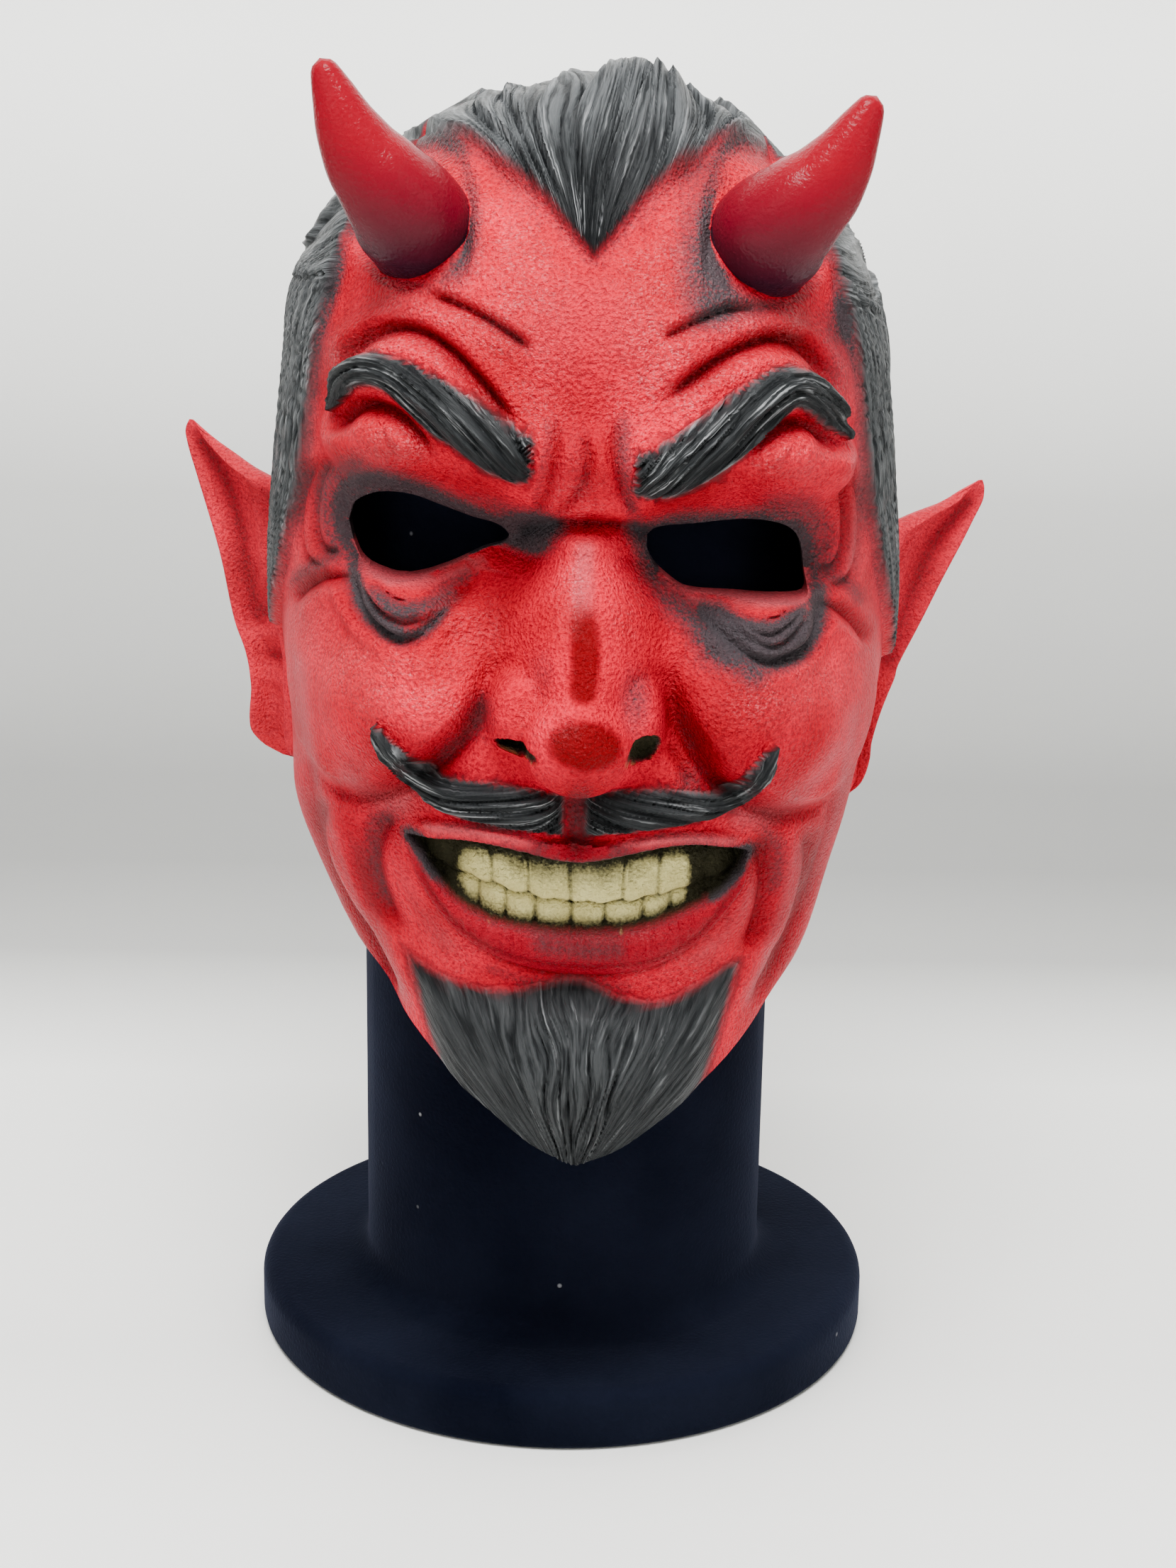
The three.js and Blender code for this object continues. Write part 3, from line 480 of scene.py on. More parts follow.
def teeth_depth(x, z):
    """How far forward the teeth stand: two rows on the jaw's arch, each tooth a little swollen."""
    arch = 102.6 - 11.5 * (np.abs(x) / 34) ** 2.1
    edge = along(bite, x) + 0.35 * np.sin(x * 0.9)
    gap_up = np.abs(x[:, None] - upper_gaps[None]).min(1)
    gap_low = np.abs(x[:, None] - lower_gaps[None]).min(1)
    gap = np.where(z > edge, gap_up, gap_low)
    rise = np.abs(z - edge)
    swell = 0.9 * (1 - np.exp(-((gap / 2.6) ** 2))) + 0.6 * ease(0, 2.5, rise)
    groove = 0.8 * np.exp(-((gap / 0.55) ** 2)) + 0.9 * np.exp(-((rise / 0.5) ** 2))
    back = np.where(z > edge, 0, 1.2) + 3 * ease(171, 177, z) + 2 * ease(156, 151, z)
    return arch + swell - groove - back, groove


def merge(a, b, blend):
    """The larger of two heights, rounded only where they nearly meet."""
    return np.maximum(a, b) + 0.25 * blend * np.maximum(1 - np.abs(a - b) / blend, 0) ** 2


def dome(level):
    """The square root of a level, carried on below zero as a slope that falls away."""
    return np.sign(level) * np.sqrt(np.abs(level))


def nose_rise(x, z, ground):
    """How far the nose stands over the ground beside it: a bridge, a ball at its tip and two wings."""
    s = np.abs(x)
    rise = along([
        (181, -40), (187, -14), (192.5, 3), (198, 15), (205, 22.6), (213, 23.4), (222, 20.4), (232, 15.2),
        (242, 10.2), (248, 6.6), (251.5, 2.6), (256, -2), (262, -6),
    ], z)
    flank = along([
        (188, 10), (200, 13), (208, 17), (215, 24), (222, 28), (230, 27), (240, 21), (247, 15), (252, 11),
        (262, 10),
    ], z)
    across = np.clip(s / flank, 0, 1)
    bridge = (rise + 3) * (1 - ease(0.06, 1.0, across)) ** 1.15 - 3
    ball = 119.3 + 1.0 * dome(12.4 ** 2 - (x + 1) ** 2 - (z - 203.4) ** 2) - ground
    centre, reach = np.where(x > 0, 13.2, 15.2), np.where(x > 0, 6.8, 8.4)
    wing = 104.5 + 13.0 * dome(1 - ((s - centre) / reach) ** 2 - ((z - 207.5) / 10.5) ** 2) - ground
    together = merge(merge(bridge, ball, 9.0), wing, 7.5)
    left_nostril = mound(x + 0.4 * (z - 201), z, -15.5, 201.0, 5.4, 2.1, 0.7)
    right_nostril = mound(x - 0.3 * (z - 201), z, 14.2, 201.6, 4.4, 4.2, 0.7)
    nostril = np.maximum(left_nostril, right_nostril)
    return merge(together, 0 * z, 2.0) - 9 * nostril, nostril


def face_forms(x, z):
    """The big forms of the face over the plain head: brows, lids, sockets, cheeks, muzzle and chin."""
    s = np.abs(x)
    horn_collar = np.hypot(s - 43, z - 320) - 17.5
    out = 2.0 * mound(s, z, 24, 306, 30, 22) + 1.5 * np.exp(-((horn_collar / 2.4) ** 2))
    for line in (left_brow, right_brow):
        gap, side, part = near(line, x, z, 26)
        out += 6.2 * np.exp(-((gap / 10.5) ** 2)) * ease(1.1, 0.8, part)
    out += 4.6 * mound(x, z, 0, 264, 13, 15)
    out -= 10.0 * mound(s, z, 34, 246, 32, 17, 1.3)
    out -= 4 * mound(s, z, 18, 249, 10, 9, 1.5)
    out += 9.5 * mound(x, z, -49, 266.5, 18, 11, 1.4) + 10 * mound(x, z, 51, 267, 17, 11.5, 1.4)
    out += 5.2 * mound(s, z, 46, 228, 17, 12, 1.2)
    cheek = 9.0 * mound(s, z, 47, 204, 34, 36, 1.2) + 5.5 * mound(s, z, 42, 203, 24, 22, 1.2)
    for line, sign in zip(cheek_folds, (1, -1)):
        gap, side, part = near(line, x, z, 40)
        own = x * sign > 0
        inner = np.where(gap < 900, ease(-1.4, 5.2, gap * side * sign), 1)
        out += np.where(own, cheek * inner, 0)
    out += 4.8 * mound(x, z, 0, 184, 40, 22, 1.2)
    out += 3.5 * mound(x, z, 0, 114, 32, 26, 1.3)
    out -= 2.2 * mound(x, z, 0, 137, 36, 7, 1.2)
    return out


def face_creases(x, z):
    """The creases and folds on those forms, and the painted shade that darkens them."""
    out = -1.8 * np.exp(-(((x + 1.6) / 2.8) ** 2)) * ease(171, 176, z) * ease(197, 190, z)
    dark = 0.7 * np.exp(-(((x + 1.6) / 2.8) ** 2)) * ease(171, 176, z) * ease(194, 189, z)
    for line, sign in zip(cheek_folds, (1, -1)):
        gap, _, part = near(line, x, z, 12)
        fold = ease(0.0, 0.3, part) * ease(1.0, 0.75, part) * (x * sign > 0)
        out -= 2.2 * np.exp(-((gap / 1.8) ** 2)) * fold
        dark += 0.6 * np.exp(-((gap / 2.6) ** 2)) * fold
    for line, depth, width in creases:
        relief, tone = crease(line, x, z, depth, width)
        out += relief
        dark += tone * min(1, depth / 3)
    return out, dark


def lip_relief(x, z):
    """The lips, thin above and full below with a fine rim, where they are painted, and their lines."""
    gap, side, part = near(outer_lip, x, z, 20)
    below = (z < 176) & (side > 0)
    across = gap / (gap + np.maximum(along(mouth_bottom, x) - z, 0) + 0.3)
    ends = ease(0, 0.1, part) * ease(1, 0.9, part)
    low_half = np.sqrt(1 - (1 - np.clip(across / 0.55, 0, 1)) ** 2)
    roll = np.where(across < 0.55, low_half, 1 - 0.5 * (np.clip(across - 0.55, 0, 1) / 0.45) ** 2)
    wrinkles = 0.45 * np.sin(x * 2.1 + 0.7 * np.sin(x * 0.8))
    wrinkles *= ease(0.2, 0.6, across) * ease(34, 24, np.abs(x))
    lines = 1.3 * np.exp(-((gap / 1.0) ** 2)) + 0.8 * np.exp(-(((gap - 3.6) / 0.9) ** 2)) * below
    lower = np.where(below, (4.8 + wrinkles) * roll, 0) * ends - lines * ends * (z < 176)
    gap_top, side_top, part_top = near(upper_lip, x, z, 12)
    under = (side_top < 0) & (z > 166)
    upper = np.where(under, 2.4 * ease(0, 2.2, gap_top), 0) * ease(0, 0.1, part_top) * ease(1, 0.9, part_top)
    return np.maximum(lower, upper), below * ends * (z < 176), lines * ends * (z < 176)


def hair_cover(x, y, z):
    """How far inside the hair a place is, in millimetres, negative outside."""
    angle = np.degrees(np.arctan2(np.abs(x), head_axis - y))
    past_temple = (angle - along(temple_hairline, z)) * 1.4
    above_front = np.where(angle < 52, z - along(peak_hairline, np.abs(x - 0.8)), past_temple)
    over_ear = np.where(angle > 80, z - along(low_hairline, angle), 1e3)
    return np.minimum(np.maximum(past_temple, above_front), over_ear)


def strands(u, v, pitch):
    """Rounded strands between sharp grooves, 1 on a strand and 0 in a groove; u runs across them, v along."""
    place = u / pitch
    wander = 0.34 * np.sin(place * 1.7 + v * 0.07) + 0.22 * np.sin(place * 4.1 - v * 0.11 + 2)
    wander += 0.3 * np.sin(place * 0.6 - v * 0.04 + 1)
    return np.abs(np.sin(math.pi * (place + wander))) ** 0.7


def locks_over(u, v, pitch, edge=0.16):
    """Flat locks that overlap like slates, each 1 at its raised edge and 0 where the next covers it."""
    place = u / pitch
    place = place + 0.5 * np.sin(place * 0.9 + v * 0.05) + 0.25 * np.sin(place * 2.3 - v * 0.09 + 1)
    part = place - np.floor(place)
    return ease(0, edge, part) * (1 - 0.85 * part) / 0.86


def combed(x, y, z):
    """Places across and along the hair: combed back from the peak over the head, and down at the sides."""
    front = np.array([0, -95.0, 48.0]) / math.hypot(95, 48)
    above = np.array([0, 48.0, 95.0]) / math.hypot(95, 48)
    place = np.stack([x, y - head_axis, z - 250], 1)
    round_it = np.arctan2(place[:, 0], place @ above)
    spread = np.hypot(place[:, 0], place @ above)
    back = np.arctan2(spread, place @ front)
    swirl = 0.05 * np.sin(5 * round_it + 7 * back) + 0.03 * np.sin(13 * round_it - 5 * back + 1)
    over_u, over_v = (round_it + swirl) * 60, back * 90
    side = np.sign(x)
    round_head = np.abs(np.arctan2(x, head_axis - y)) * 85
    slant = 0.42 * (z - 300) * ease(100, -20, y)
    down_u, down_v = side * (round_head - 24 + slant + 2 * np.sin(z / 17)), 300 - z
    down = np.maximum(ease(314, 290, z) * ease(48, 62, np.abs(x)), ease(30, 62, y) * ease(312, 266, z))
    return (over_u, over_v), (down_u, down_v), down, spread


def beard_cover(x, z):
    return np.minimum(along(beard_top, x) - z, along(beard_half_width, z) - np.abs(x + 1.5))


def quiff(x, y, z):
    """The hair piled above the forehead, highest a little to the mask's left."""
    rise = ease(316, 346, z + 0.25 * np.abs(x)) * ease(25, -60, y) * ease(62, 18, np.abs(x - 6))
    piled = 12 * rise + 5 * mound(x, y, 14, -52, 18, 34) * ease(325, 342, z)
    piled -= 4.5 * np.exp(-(((x + 17) / 12) ** 2)) * rise
    return piled - 2.5 * np.exp(-(((x - 26) / 3.5) ** 2)) * rise


# The skin is one sheet wrapped round the plain head, its columns crowded towards the face. Its lower edge is
# given by the angle from the front, and the drawing is seen from the eye point.
jaw_edge = [
    (0, 89.2), (10, 94), (21, 102.5), (34, 109.5), (48, 118), (62, 127.5), (75, 134.5), (95, 136),
    (130, 127), (180, 117),
]
underside_height, wall = 124.0, 3.0
columns, dome_rows, face_rows, under_rows = 540, 116, 300, 12
all_rows = dome_rows + face_rows + under_rows
turns = np.linspace(-math.pi, math.pi, 2001)
crowding = np.maximum(np.cos(turns), np.where(np.abs(turns) < math.radians(105), 0.62, 0.3))
crowded = np.concatenate([[0], np.cumsum((crowding[1:] + crowding[:-1]) / 2)])
eye_point = np.array([-3.0, -653.4, 340.2])
sculpt = {}


def head_place(turn, fall):
    """The angle round the head and the height for a place on the ball, and how far under the jaw it is."""
    angle = np.interp((turn + 1) / 2 * crowded[-1], crowded, turns)
    row = fall * all_rows
    dome = temple_height + (crown - temple_height) * np.cos(np.clip(row / dome_rows, 0, 1) * math.pi / 2)
    edge = along(jaw_edge, np.abs(np.degrees(angle)))
    face = temple_height + (edge - temple_height) * np.clip((row - dome_rows) / face_rows, 0, 1)
    under = np.clip((row - dome_rows - face_rows) / under_rows, 0, 1)
    return angle, np.where(row < dome_rows, dome, face), under


def drawn_at(place):
    """Where a place on the raised skin lies in the drawing: the plain head's point behind it, as seen."""
    depth = place[:, 1]
    for _ in range(6):
        t = ((depth - eye_point[1]) / (place[:, 1] - eye_point[1]))[:, None]
        seen = eye_point + t * (place - eye_point)
        level = np.minimum(seen[:, 2], temple_height)
        closed = closing(seen[:, 2], temple_height)
        width = np.maximum(along(half_width, level) * closed, 1)
        front = (head_axis - along(front_depth, level)) * closed
        ratio = np.minimum(np.abs(seen[:, 0]) / width, 0.985)
        depth = head_axis - front * (1 - ratio ** 2.15) ** (1 / 2.15)
    return seen[:, 0], seen[:, 2]


def head_skin(turn, fall):
    angle, z, under = head_place(turn, fall)
    x, y, out_x, out_y = plain_head(angle, z)
    base = np.stack([x, y, z], 1)
    degrees = np.degrees(angle)
    jowl = 5.6 * np.exp(-(((z - 161) / 24) ** 2)) * ease(-34, -58, degrees) * ease(-150, -110, degrees)
    up = ease(300, crown, z)
    way = np.stack([out_x * (1 - up), out_y * (1 - up), up], 1)
    way /= np.linalg.norm(way, axis=1)[:, None]
    facing = ease(-20, -50, y)
    cover = hair_cover(x, y, z)
    hair = ease(-0.8, 1.8, cover)
    over_top, down_side, down, spread = combed(x, y, z)
    rear = ease(5, 50, y)
    edge = 0.16 + 0.26 * rear
    side_locks = strands(*down_side, 4.2) * (1 - rear) + locks_over(*down_side, 8.5, edge) * rear
    locks = locks_over(*over_top, 8.5, edge) * (1 - down) + side_locks * down
    finer = strands(*over_top, 2.9) * (1 - down) + strands(*down_side, 2.1) * down
    finer = finer * (1 - rear) + locks * rear
    deep = (2.4 * ease(20, 42, spread) + 0.3) * (1 - down) + (0.5 + 1.2 * rear) * down
    fine_depth = 0.9 * ease(12, 30, spread) * (0.5 + 0.5 * ease(30, -30, y))
    out = hair * (3.0 + deep * (locks - 0.5) + fine_depth * (finer - 0.5))
    grey, tone = hair.copy(), (0.4 * locks + 0.6 * finer) * hair
    combed_down = down + 0.4 * (locks - 0.5) > 0.5
    comb_u, comb_v = (np.where(combed_down, low, high) for low, high in zip(down_side, over_top))

    front = np.flatnonzero(facing > 0)
    fx, fz, fbase, fway, fface = x[front], z[front], base[front], way[front], facing[front]
    face_x, face_z = fx, fz
    for _ in range(2):
        raised = (face_forms(face_x, face_z) * fface * (1 - 0.7 * hair[front]))[:, None]
        face_x, face_z = drawn_at(fbase + fway * raised)
    folds, dark_in = face_creases(face_x, face_z)
    bald = 1 - 0.7 * hair[front]
    lips, on_lip, lip_lines = lip_relief(face_x, face_z)
    relief = face_forms(face_x, face_z) * bald + lips
    dark_in += 0.9 * lip_lines
    fgrey, ftone, fu, fv = grey[front], tone[front], comb_u[front], comb_v[front]
    tufted = np.zeros(face_x.shape)
    for line, half, proud, end, ragged, cross, within_first in tufts:
        gap, side, part = near(line, face_x, face_z, 12)
        across = gap / np.maximum(along(half, part), 0.3)
        v = part * np.hypot(*np.diff(line, axis=0).T).sum()
        u = gap * side + cross * (1 - np.exp(-v / within_first))
        strand, finer = 0.5 * strands(u, v, 3.0) + 0.5 * locks_over(u, v, 3.4), strands(u, v, 1.7)
        past_end = (face_x - end) * np.sign(end) - ragged * (1 - strand)
        within = ease(1.04, 0.84, across + 0.14 * (1 - strand)) * (gap < 900) * ease(-0.6, 0.6, past_end)
        rounded = 0.6 * proud * np.sqrt(1 - 0.75 * np.minimum(across, 1) ** 2)
        relief += within * (rounded + 2.0 * (strand - 0.5) + 0.5 * (finer - 0.5) + 0.7)
        paint = ease(1.16, 0.95, across + 0.12 * (1 - strand)) * (gap < 900) * ease(-1.2, 0, past_end)
        on = paint > 0.02
        tufted = np.maximum(tufted, within)
        fgrey = np.maximum(fgrey, paint)
        ftone[on], fu[on], fv[on] = (0.7 * strand + 0.3 * finer)[on], u[on], v[on]
    relief += folds * bald * (1 - tufted)
    dark_in = dark_in * (1 - tufted)
    beard = beard_cover(face_x, face_z)
    fan = np.arctan2(face_x + 1.0, face_z - 81)
    bend = 0.9 * np.sin(face_z / 6.5 + fan * 9) + 0.5 * np.sin(face_z / 3.7 - fan * 14 + 2)
    middle = ease(0.46, 0.3, np.abs(fan)) * ease(134, 127, face_z + 10 * np.abs(fan))
    beard_u = fan * 31 + bend * ease(0.46, 0.2, np.abs(fan)) * ease(88, 104, face_z)
    lock, finer = strands(beard_u, face_z, 3.2), strands(beard_u, face_z, 1.6)
    on_beard = ease(-1.5, 2.0, beard)
    combed_relief = 1.6 * (lock - 0.4) * middle + (0.25 + 0.3 * middle) * (finer - 0.5)
    relief += ease(-0.5, 8, beard) * (1.8 + combed_relief)
    on = beard > -1
    fgrey = np.maximum(fgrey, on_beard)
    ftone[on] = ((0.6 * lock + 0.4 * finer) * middle + 0.62 * (1 - middle) * (0.6 + 0.4 * finer))[on]
    fu[on], fv[on] = beard_u[on], face_z[on]
    grey[front], tone[front] = fgrey * np.maximum(fface, hair[front]), ftone
    comb_u[front], comb_v[front] = fu, fv
    out[front] += relief * fface
    out += jowl
    place = base + way * out[:, None]

    ground = -place[front, 1]
    nose, nostril_in = nose_rise(fx, fz, ground)
    on_nose = (np.abs(fx) < 34) & (fz > 180) & (fz < 264)
    place[front, 1] = np.where(on_nose, -ground - nose, -ground)
    teeth, gaps_in = teeth_depth(fx, fz + 0.8)
    mouth_gap = inside_mouth(face_x, face_z)
    in_mouth = ease(-0.8, 0.9, mouth_gap)
    place[front, 1] = place[front, 1] * (1 - in_mouth) - teeth * in_mouth
    face_x, face_z = drawn_at(place[front])
    masks = dict(
        dark=dark_in * fface, nostril=nostril_in * on_nose, mouth=in_mouth, gaps=gaps_in,
        lips=on_lip * ease(0.3, 2.2, lips), tufted=tufted, beard=on_beard, lip_edge=np.abs(mouth_gap),
        drawn_x=face_x, drawn_z=face_z,
    )
    for name, value in masks.items():
        sculpt[name] = np.zeros(x.shape)
        sculpt[name][front] = value
    sunk = ((place - base) * way).sum(1)
    place += quiff(x, y, z)[:, None] * np.array([[0, -0.45, 0.9]])
    place = place * (1 - under[:, None]) + np.array([[0, 4, underside_height]]) * under[:, None]
    sculpt.update(
        base=base, way=way, sunk=sunk, facing=facing, hair=grey, tone=tone, cover=cover, turn=turn, fall=fall,
        comb_u=comb_u, comb_v=comb_v,
    )
    return place.T


def coat(ball, **masks):
    """Keep each mask on the piece's points, for its paint."""
    for name, value in masks.items():
        layer = ball.data.attributes.new(name, "FLOAT", "POINT")
        layer.data.foreach_set("value", np.broadcast_to(value, len(ball.data.vertices)).astype(np.float32))


head = stretched_ball("latex_devil_mask", columns, all_rows, head_skin)
face_x, face_z = sculpt["drawn_x"], sculpt["drawn_z"]


def sprayed_on(lines, spots):
    """Airbrushed paint, painted shade or painted highlights: lines with a reach and an amount, and oval
    spots.
    """
    front = np.flatnonzero(sculpt["facing"] > 0)
    x, z = face_x[front], face_z[front]
    amount, result = np.zeros(x.shape), np.zeros(face_x.shape)
    for points, reach, most in lines:
        gap, _, _ = near(drawn(points, 3), x, z, 2.4 * reach)
        amount = np.maximum(amount, most * np.exp(-((gap / reach) ** 2)))
    for at_x, at_z, reach_x, reach_z, most in spots:
        amount = amount + most * mound(x, z, at_x, at_z, 1.5 * reach_x, 1.5 * reach_z, 1.3)
    result[front] = np.clip(amount, 0, 1) * sculpt["facing"][front]
    return result


# Black airbrushing round the eyes, with painted shade in the folds, under the nose, round the horn roots and
# at the corners of the mouth.
shade = sprayed_on([
    ([(-57, 239), (-61, 246), (-59.5, 253.5), (-53, 257.5), (-44, 257.4), (-36, 255.6)], 4.0, 1.0),
    ([(-62, 238), (-65, 247), (-63.5, 256), (-56, 261)], 3.4, 0.65),
    ([(-58, 243), (-59, 249), (-54, 253.5), (-45, 255.3), (-35, 253.6), (-26, 251.2)], 1.6, 1.0),
    ([(-36, 255.5), (-29, 253.5), (-23, 251.5), (-16, 248.5), (-12, 247.5)], 3.6, 1.0),
    ([(-22, 255), (-15, 253), (-9, 252)], 3.5, 0.6),
    ([(12, 252.5), (14, 246), (16.5, 240), (22, 235.5)], 2.8, 0.75),
    ([(14, 251.5), (22, 254), (32, 254.6), (42, 255), (52, 253), (56.5, 247), (57, 238)], 2.8, 0.8),
    ([(45, 257), (54, 256), (59.5, 249), (60, 241)], 4.2, 0.6),
    ([(16, 251), (30, 253), (46, 252.5)], 1.5, 1.0), ([(50, 251), (54, 247), (55, 237)], 1.5, 1.0),
    ([(60, 238), (66, 236), (71, 230)], 2.0, 0.55), ([(-60, 237), (-68, 233), (-76, 226)], 2.0, 0.5),
    ([(-57.5, 236), (-55, 228), (-50.5, 223), (-45, 221)], 2.6, 1.0),
    ([(-45, 220.8), (-39, 223), (-34, 229)], 1.6, 0.7),
    ([(-52, 230), (-45, 226.5), (-38, 229.5), (-33, 233)], 2.4, 0.6), ([(-27, 239), (-36, 233)], 1.6, 0.5),
    ([(58, 235), (57.5, 227), (53.5, 221), (47, 219.5), (41, 222), (35, 226.5), (29, 232)], 3.4, 1.0),
    ([(54, 231), (48, 226), (41, 227), (32, 232.5)], 2.6, 0.85),
    ([(20, 236), (27, 229), (34, 222.5), (42, 216.5)], 4.2, 0.75),
    ([(-24, 299), (-16, 294.5), (-11, 290)], 2.0, 0.2), ([(-25, 208), (-28, 201), (-34, 194)], 2.6, 0.3),
    ([(24, 208), (27, 200)], 2.0, 0.15), ([(-46, 176), (-52, 171), (-52.5, 160), (-50, 150)], 2.6, 0.4),
    ([(46, 176), (50.5, 170), (50.5, 160)], 2.6, 0.4), ([(-9, 277), (-10, 268), (-12, 258)], 1.6, 0.3),
    ([(8.5, 278), (9, 268), (11, 257)], 2.2, 0.5), ([(-2, 275), (-2, 262)], 3.0, 0.2),
    ([(-42.5, 171.5), (-39, 167), (-36, 163)], 2.4, 1.0),
    ([(41.5, 171.5), (37.5, 166), (34, 162)], 2.4, 1.0), ([(-9, 147.5), (0, 146.5), (9, 147)], 3.4, 0.5),
    ([(-33, 176), (-20, 177.3), (-8, 174.5)], 1.2, 0.4), ([(8, 174.5), (20, 177.6), (33, 176.5)], 1.2, 0.4),
    ([(-22, 139), (-12, 137.3), (0, 138), (12, 137)], 1.6, 0.4),
], [
    (12.5, 211, 3.5, 8, 0.6), (-10, 216, 3.5, 6, 0.35), (-47, 227, 7, 4.5, 0.25), (48, 226, 9, 4, 0.5),
    (30, 222, 6, 5, 0.3), (27, 313, 7, 13, 0.75), (34, 303, 9, 4, 0.35), (-30, 315, 4.5, 10, 0.45),
    (62, 292, 4, 16, 0.4), (-66, 292, 4, 16, 0.3), (-13, 250, 7, 4, 0.6), (0, 183, 4, 7, 0.45),
    (-64, 306, 4, 6, 0.4), (60, 300, 5, 5, 0.4), (-23, 203, 3, 8, 0.2), (26, 190, 4, 5, 0.4),
])
# Soft overspray along the hairline, and painted shade at the mouth's rim, round the horn roots, in the
# nostrils and in the creases.
hairline_shade = 0.45 * np.exp(-((np.minimum(sculpt["cover"], 0) / 2.6) ** 2))
lip_shade = np.where(face_z > 165, 0.9, 0.35) * np.exp(-((sculpt["lip_edge"] / 1.2) ** 2))
horn_shade = 0.35 * np.exp(-(((np.hypot(np.abs(face_x) - 43, face_z - 320) - 15.5) / 2.0) ** 2))
edge_and_crease_shade = hairline_shade + lip_shade + horn_shade + 1.6 * sculpt["nostril"] + 0.12 * sculpt["dark"]
shade += edge_and_crease_shade * sculpt["facing"]
ink = np.maximum(mound(face_x, face_z, 1, 317, 30, 22, 0.7), 0.8 * sculpt["tufted"])
ink = np.maximum(ink, 0.58 * sculpt["beard"])
# Painted shade darkening the teeth under the lips and towards the mouth's corners and in the nostrils, with
# darker gaps between the teeth.
grime = (sculpt["mouth"] > 0.01) * (
    0.95 * ease(5.0, 0.5, along(mouth_top, face_x) - face_z)
    + 0.95 * ease(5.5, 0.5, face_z - along(mouth_bottom, face_x)) + 0.62 * sculpt["gaps"]
    + 3.0 * ease(25.5, 28.5, face_x) + 2.4 * ease(-27, -36, face_x)
)
# Nostrils painted black as painted shade, wet lacquer on the nose, deeper red and painted shade in the
# hollows, gloss and painted glints on what stands proud, and pale red: grey-pink overspray and painted
# highlights along ridges, folds and rims.
dark_holes = ease(0.2, 0.55, sculpt["nostril"]) * sculpt["facing"]
glossy = sprayed_on([([(0, 228), (0.5, 220), (0, 213)], 3.8, 1.0)], [(0.5, 199.5, 8.0, 5.4, 1.3)])
glossy = ease(0.25, 0.6, glossy)
deep_red_and_shade = sprayed_on([
    ([(-10, 250), (-14, 243), (-18, 235), (-20, 227)], 5.5, 0.45),
    ([(12, 248), (14, 238), (18, 230)], 4.0, 0.35),
    ([(-61, 288), (-50, 297), (-38, 296), (-22, 284)], 3.2, 0.35),
    ([(17, 284), (30, 294), (44, 299), (60, 288)], 3.2, 0.35),
    ([(20, 216), (24, 207), (30, 198), (40, 190), (54, 184)], 6.5, 0.5),
    ([(-22, 216), (-27, 204), (-34, 196), (-44, 189), (-56, 184)], 5.5, 0.45),
    ([(-62, 176), (-60, 162), (-55, 145)], 4.0, 0.35), ([(60, 176), (58, 160), (53, 145)], 4.0, 0.35),
    ([(-32, 190), (-18, 190), (-6, 187)], 3.4, 0.3), ([(8, 189), (20, 190), (30, 190)], 3.4, 0.4),
    ([(-45, 176), (-46.5, 165), (-42, 152), (-34, 143)], 2.4, 0.35),
    ([(43, 172), (42.5, 160), (36, 148)], 2.4, 0.35),
], [
    (34, 209, 14, 11, 0.55), (52, 200, 12, 12, 0.25), (-44, 262, 15, 4, 0.45), (-26, 260, 7, 5, 0.6),
    (38, 261, 16, 5, 0.55), (22, 257, 7, 4, 0.5), (0, 284, 11, 22, 0.3), (0, 268, 9, 10, 0.25),
    (-40, 194, 14, 6, 0.3), (-44, 284, 10, 3, 0.3), (0, 186, 4, 7, 0.8), (0, 176, 4, 3, 0.8),
    (-68, 225, 8, 12, 0.2),
])
shiny = sprayed_on([
    ([(-62, 285), (-50, 291), (-38, 290), (-26, 280), (-18, 271)], 2.6, 0.9),
    ([(20, 278), (32, 288), (46, 292), (58, 284)], 2.6, 0.9),
    ([(-46, 301), (-34, 300), (-22, 294)], 3.5, 0.9), ([(24, 297), (36, 300), (50, 300)], 3.5, 0.8),
], [
    (-20, 310, 15, 14, 0.9), (20, 306, 14, 16, 0.9), (-48, 268, 9, 5, 1.0), (50, 270, 10, 5, 1.0),
    (-46, 208, 18, 9, 0.9), (50, 212, 14, 8, 0.6), (-3, 258, 8, 8, 0.5), (-12, 284, 8, 14, 0.5),
    (14, 284, 8, 14, 0.6), (10, 238, 5, 12, 0.5), (-3, 238, 4, 9, 0.9), (-8, 205, 6, 5, 0.5),
    (32, 240, 8, 5, 0.4), (-28, 226, 8, 8, 0.5), (-30, 140, 10, 6, 0.4), (24, 140, 12, 6, 0.6),
    (0, 151, 24, 2, 0.5),
])
